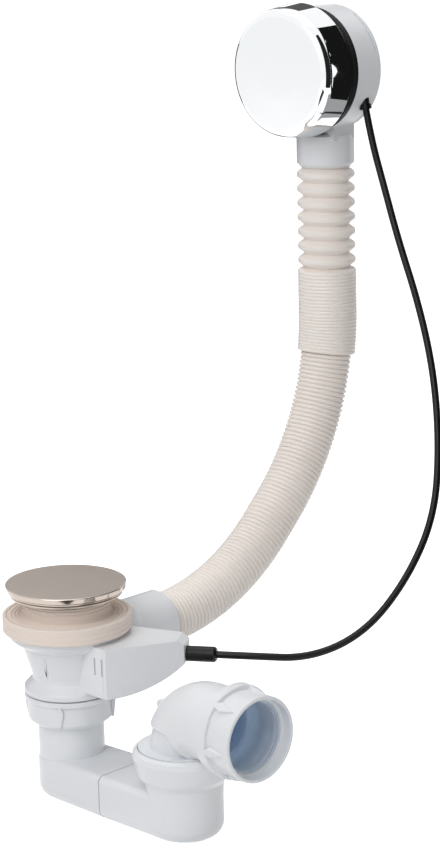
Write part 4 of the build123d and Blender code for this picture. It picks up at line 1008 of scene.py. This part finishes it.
class BATHWASTE_OT_stage(Operator):
    """Pale floor, soft light and the camera"""

    bl_idname = "bathwaste.stage"
    bl_label = "Stage"

    def seen(self, tree):
        """1 for camera, glossy and transmitted rays, and 0 for the light that falls on surfaces."""
        path = add_node(tree, "ShaderNodeLightPath", {}, {})
        shine = add_node(tree, "ShaderNodeMath", {"operation": "MAXIMUM"}, {
            0: path.outputs["Is Glossy Ray"], 1: path.outputs["Is Transmission Ray"]})
        return add_node(tree, "ShaderNodeMath", {"operation": "MAXIMUM"}, {
            0: path.outputs["Is Camera Ray"], 1: shine.outputs["Value"]}).outputs["Value"]

    def lay_floor(self, sizes):
        """Wide pale floor; what looks at it sees a little extra white, and shadows stay."""
        material, tree = new_finish("pale floor", list(sizes.floor_colour))
        paint = add_node(tree, "ShaderNodeBsdfDiffuse", {}, {"Color": list(sizes.floor_colour)})
        lift = add_node(tree, "ShaderNodeMath", {"operation": "MULTIPLY"}, {0: self.seen(tree), 1: FLOOR_LIFT})
        glow = add_node(tree, "ShaderNodeEmission", {}, {"Strength": lift.outputs["Value"]})
        both = add_node(tree, "ShaderNodeAddShader", {}, {0: paint.outputs["BSDF"], 1: glow.outputs["Emission"]})
        add_node(tree, "ShaderNodeOutputMaterial", {}, {"Surface": both.outputs["Shader"]})
        level = Matrix.Translation((0, 0, cad_box[0].z))
        floor = flat_sheet("floor", FLOOR_SIDE, FLOOR_SIDE, level, material)

    def hang_lights(self, context, sizes):
        """White surroundings and large soft lights."""
        world = bpy.data.worlds.new("studio")
        world.use_nodes = True
        world.node_tree.nodes.clear()
        strength = add_node(world.node_tree, "ShaderNodeMapRange", {}, {
            "Value": self.seen(world.node_tree), "To Min": sizes.daylight, "To Max": SURROUNDINGS})
        sky = add_node(world.node_tree, "ShaderNodeBackground", {}, {
            "Color": (1, 1, 1, 1), "Strength": strength.outputs["Result"]})
        add_node(world.node_tree, "ShaderNodeOutputWorld", {}, {"Surface": sky.outputs["Background"]})
        context.scene.world = world
        lamps = (
            ("key_light", (-1.3, -0.5, 1.3), (0.08, -0.03, 0.08), 1.2, sizes.key_power),
            ("top_light", (0.2, 0.3, 1.8), (0.1, -0.03, 0.1), 1.4, sizes.top_power),
        )
        for name, position, target, size, power in lamps:
            light = bpy.data.lights.new(name, "AREA")
            light.shape = "SQUARE"
            light.size = size
            light.energy = power
            lamp = bpy.data.objects.new(name, light)
            lamp.matrix_world = aimed(position, target)
            context.scene.collection.objects.link(lamp)

    def hang_cards(self):
        """Dark cards and slim bright panels that only mirror-like surfaces see: painted reflections, dark and
        bright, that light nothing and cast no shadow.
        """
        # Name, where it hangs, what it faces, width, height and brightness
        cards = (
            ("side_card", (0.5, -0.52, 0.385), (0.2, -0.52, 0.385), 0.8, 0.77, 0.01),
            ("side_panel", (0.49, -0.487, 0.25), (0.2, -0.487, 0.25), 0.086, 0.3, 1.6),
            ("side_slit", (0.49, -0.43, 0.52), (0.2, -0.43, 0.52), 0.036, 0.05, 1.5),
            ("upper_slit", (0.49, -0.31, 0.65), (0.2, -0.31, 0.65), 0.05, 0.03, 1.5),
            ("foot_card", (0.6, -0.35, -0.105), (0.6, -0.35, 1.0), 0.5, 0.55, 0.42),
            ("back_floor_card", (1.6, 1.5, -0.108), (1.6, 1.5, 1.0), 2.4, 2.2, 0.3),
            ("right_card", (0.15, -0.95, 0.9), (0.15, 0.0, 0.9), 0.7, 2.0, 0.02),
            ("low_back_card", (0.55, 1.1, 0.15), (0.1, 0.0, 0.15), 1.8, 0.5, 0.03),
            ("high_back_card", (0.95, 0.62, 0.82), (0.2, 0.0, 0.34), 0.6, 0.45, 0.12),
            ("front_card", (-0.42, -0.46, -0.11), (-0.42, -0.46, 1.0), 0.5, 0.5, 0.08),
        )
        for name, position, target, wide, high, shine in cards:
            material, tree = new_finish(name, (shine, shine, shine, 1))
            glow = add_node(tree, "ShaderNodeEmission", {}, {"Strength": shine})
            add_node(tree, "ShaderNodeOutputMaterial", {}, {"Surface": glow.outputs["Emission"]})
            card = flat_sheet(name, wide, high, aimed(position, target), material)
            card.visible_camera = False
            card.visible_diffuse = False
            card.visible_shadow = False
            card.visible_transmission = False

    def set_camera(self, context):
        """Camera at the viewing angle: 45 degrees round, 13.5 degrees above, rolled a little."""
        around = radians(-45.41)
        above = radians(13.5)
        roll = radians(-1.4)
        position = (-0.9703, -1.0882, 0.4634)
        back = Vector((sin(around) * cos(above), -cos(around) * cos(above), sin(above)))
        right = Vector((cos(around), sin(around), 0))
        level = axes(position, right, back)
        data = bpy.data.cameras.new("camera")
        data.sensor_width = 36
        data.lens = 109.2
        data.clip_end = 100
        camera = bpy.data.objects.new("camera", data)
        camera.matrix_world = level @ Matrix.Rotation(roll, 4, "Z")
        context.scene.collection.objects.link(camera)
        context.scene.camera = camera

    def execute(self, context):
        sizes = context.scene.bath_waste.stage
        self.lay_floor(sizes)
        self.hang_lights(context, sizes)
        self.hang_cards()
        self.set_camera(context)
        context.scene.view_settings.view_transform = "Standard"
        return {"FINISHED"}


class BATHWASTE_PT_sidebar(Panel):
    """Sizes, finishes and pieces of the bath waste"""

    bl_idname = "BATHWASTE_PT_sidebar"
    bl_label = "Bath waste"
    bl_space_type = "VIEW_3D"
    bl_region_type = "UI"
    bl_category = "Bath waste"

    def draw(self, context):
        settings = context.scene.bath_waste
        for group in ("plug", "nuts", "overflow", "hose", "cable", "finish", "stage"):
            box = self.layout.box()
            box.label(text=group.capitalize())
            sizes = getattr(settings, group)
            for name in sizes.__annotations__:
                box.prop(sizes, name)
        for piece in PIECES:
            self.layout.operator(piece.bl_idname)


PIECES = (
    BATHWASTE_OT_stage, BATHWASTE_OT_cable, BATHWASTE_OT_hose, BATHWASTE_OT_plug, BATHWASTE_OT_seal,
    BATHWASTE_OT_cone_rib, BATHWASTE_OT_union_nut, BATHWASTE_OT_elbow, BATHWASTE_OT_pipe_nut,
    BATHWASTE_OT_overflow, BATHWASTE_OT_carried_parts,
)
GROUPS = (
    PlugSizes, NutSizes, OverflowSizes, HoseSizes, CableSizes, FinishColours, StageSizes, BathWasteSettings,
)


def register():
    for item in (*GROUPS, *PIECES, BATHWASTE_PT_sidebar):
        bpy.utils.register_class(item)
    bpy.types.Scene.bath_waste = PointerProperty(type=BathWasteSettings)


def unregister():
    del bpy.types.Scene.bath_waste
    for item in reversed((*GROUPS, *PIECES, BATHWASTE_PT_sidebar)):
        bpy.utils.unregister_class(item)


def main():
    register()
    bpy.ops.bathwaste.stage()
    bpy.ops.bathwaste.cable()
    bpy.ops.bathwaste.hose()
    bpy.ops.bathwaste.plug()
    bpy.ops.bathwaste.seal()
    bpy.ops.bathwaste.cone_rib()
    bpy.ops.bathwaste.union_nut()
    bpy.ops.bathwaste.elbow()
    bpy.ops.bathwaste.pipe_nut()
    bpy.ops.bathwaste.overflow()
    bpy.ops.bathwaste.carried_parts()


if __name__ == "__main__":
    main()
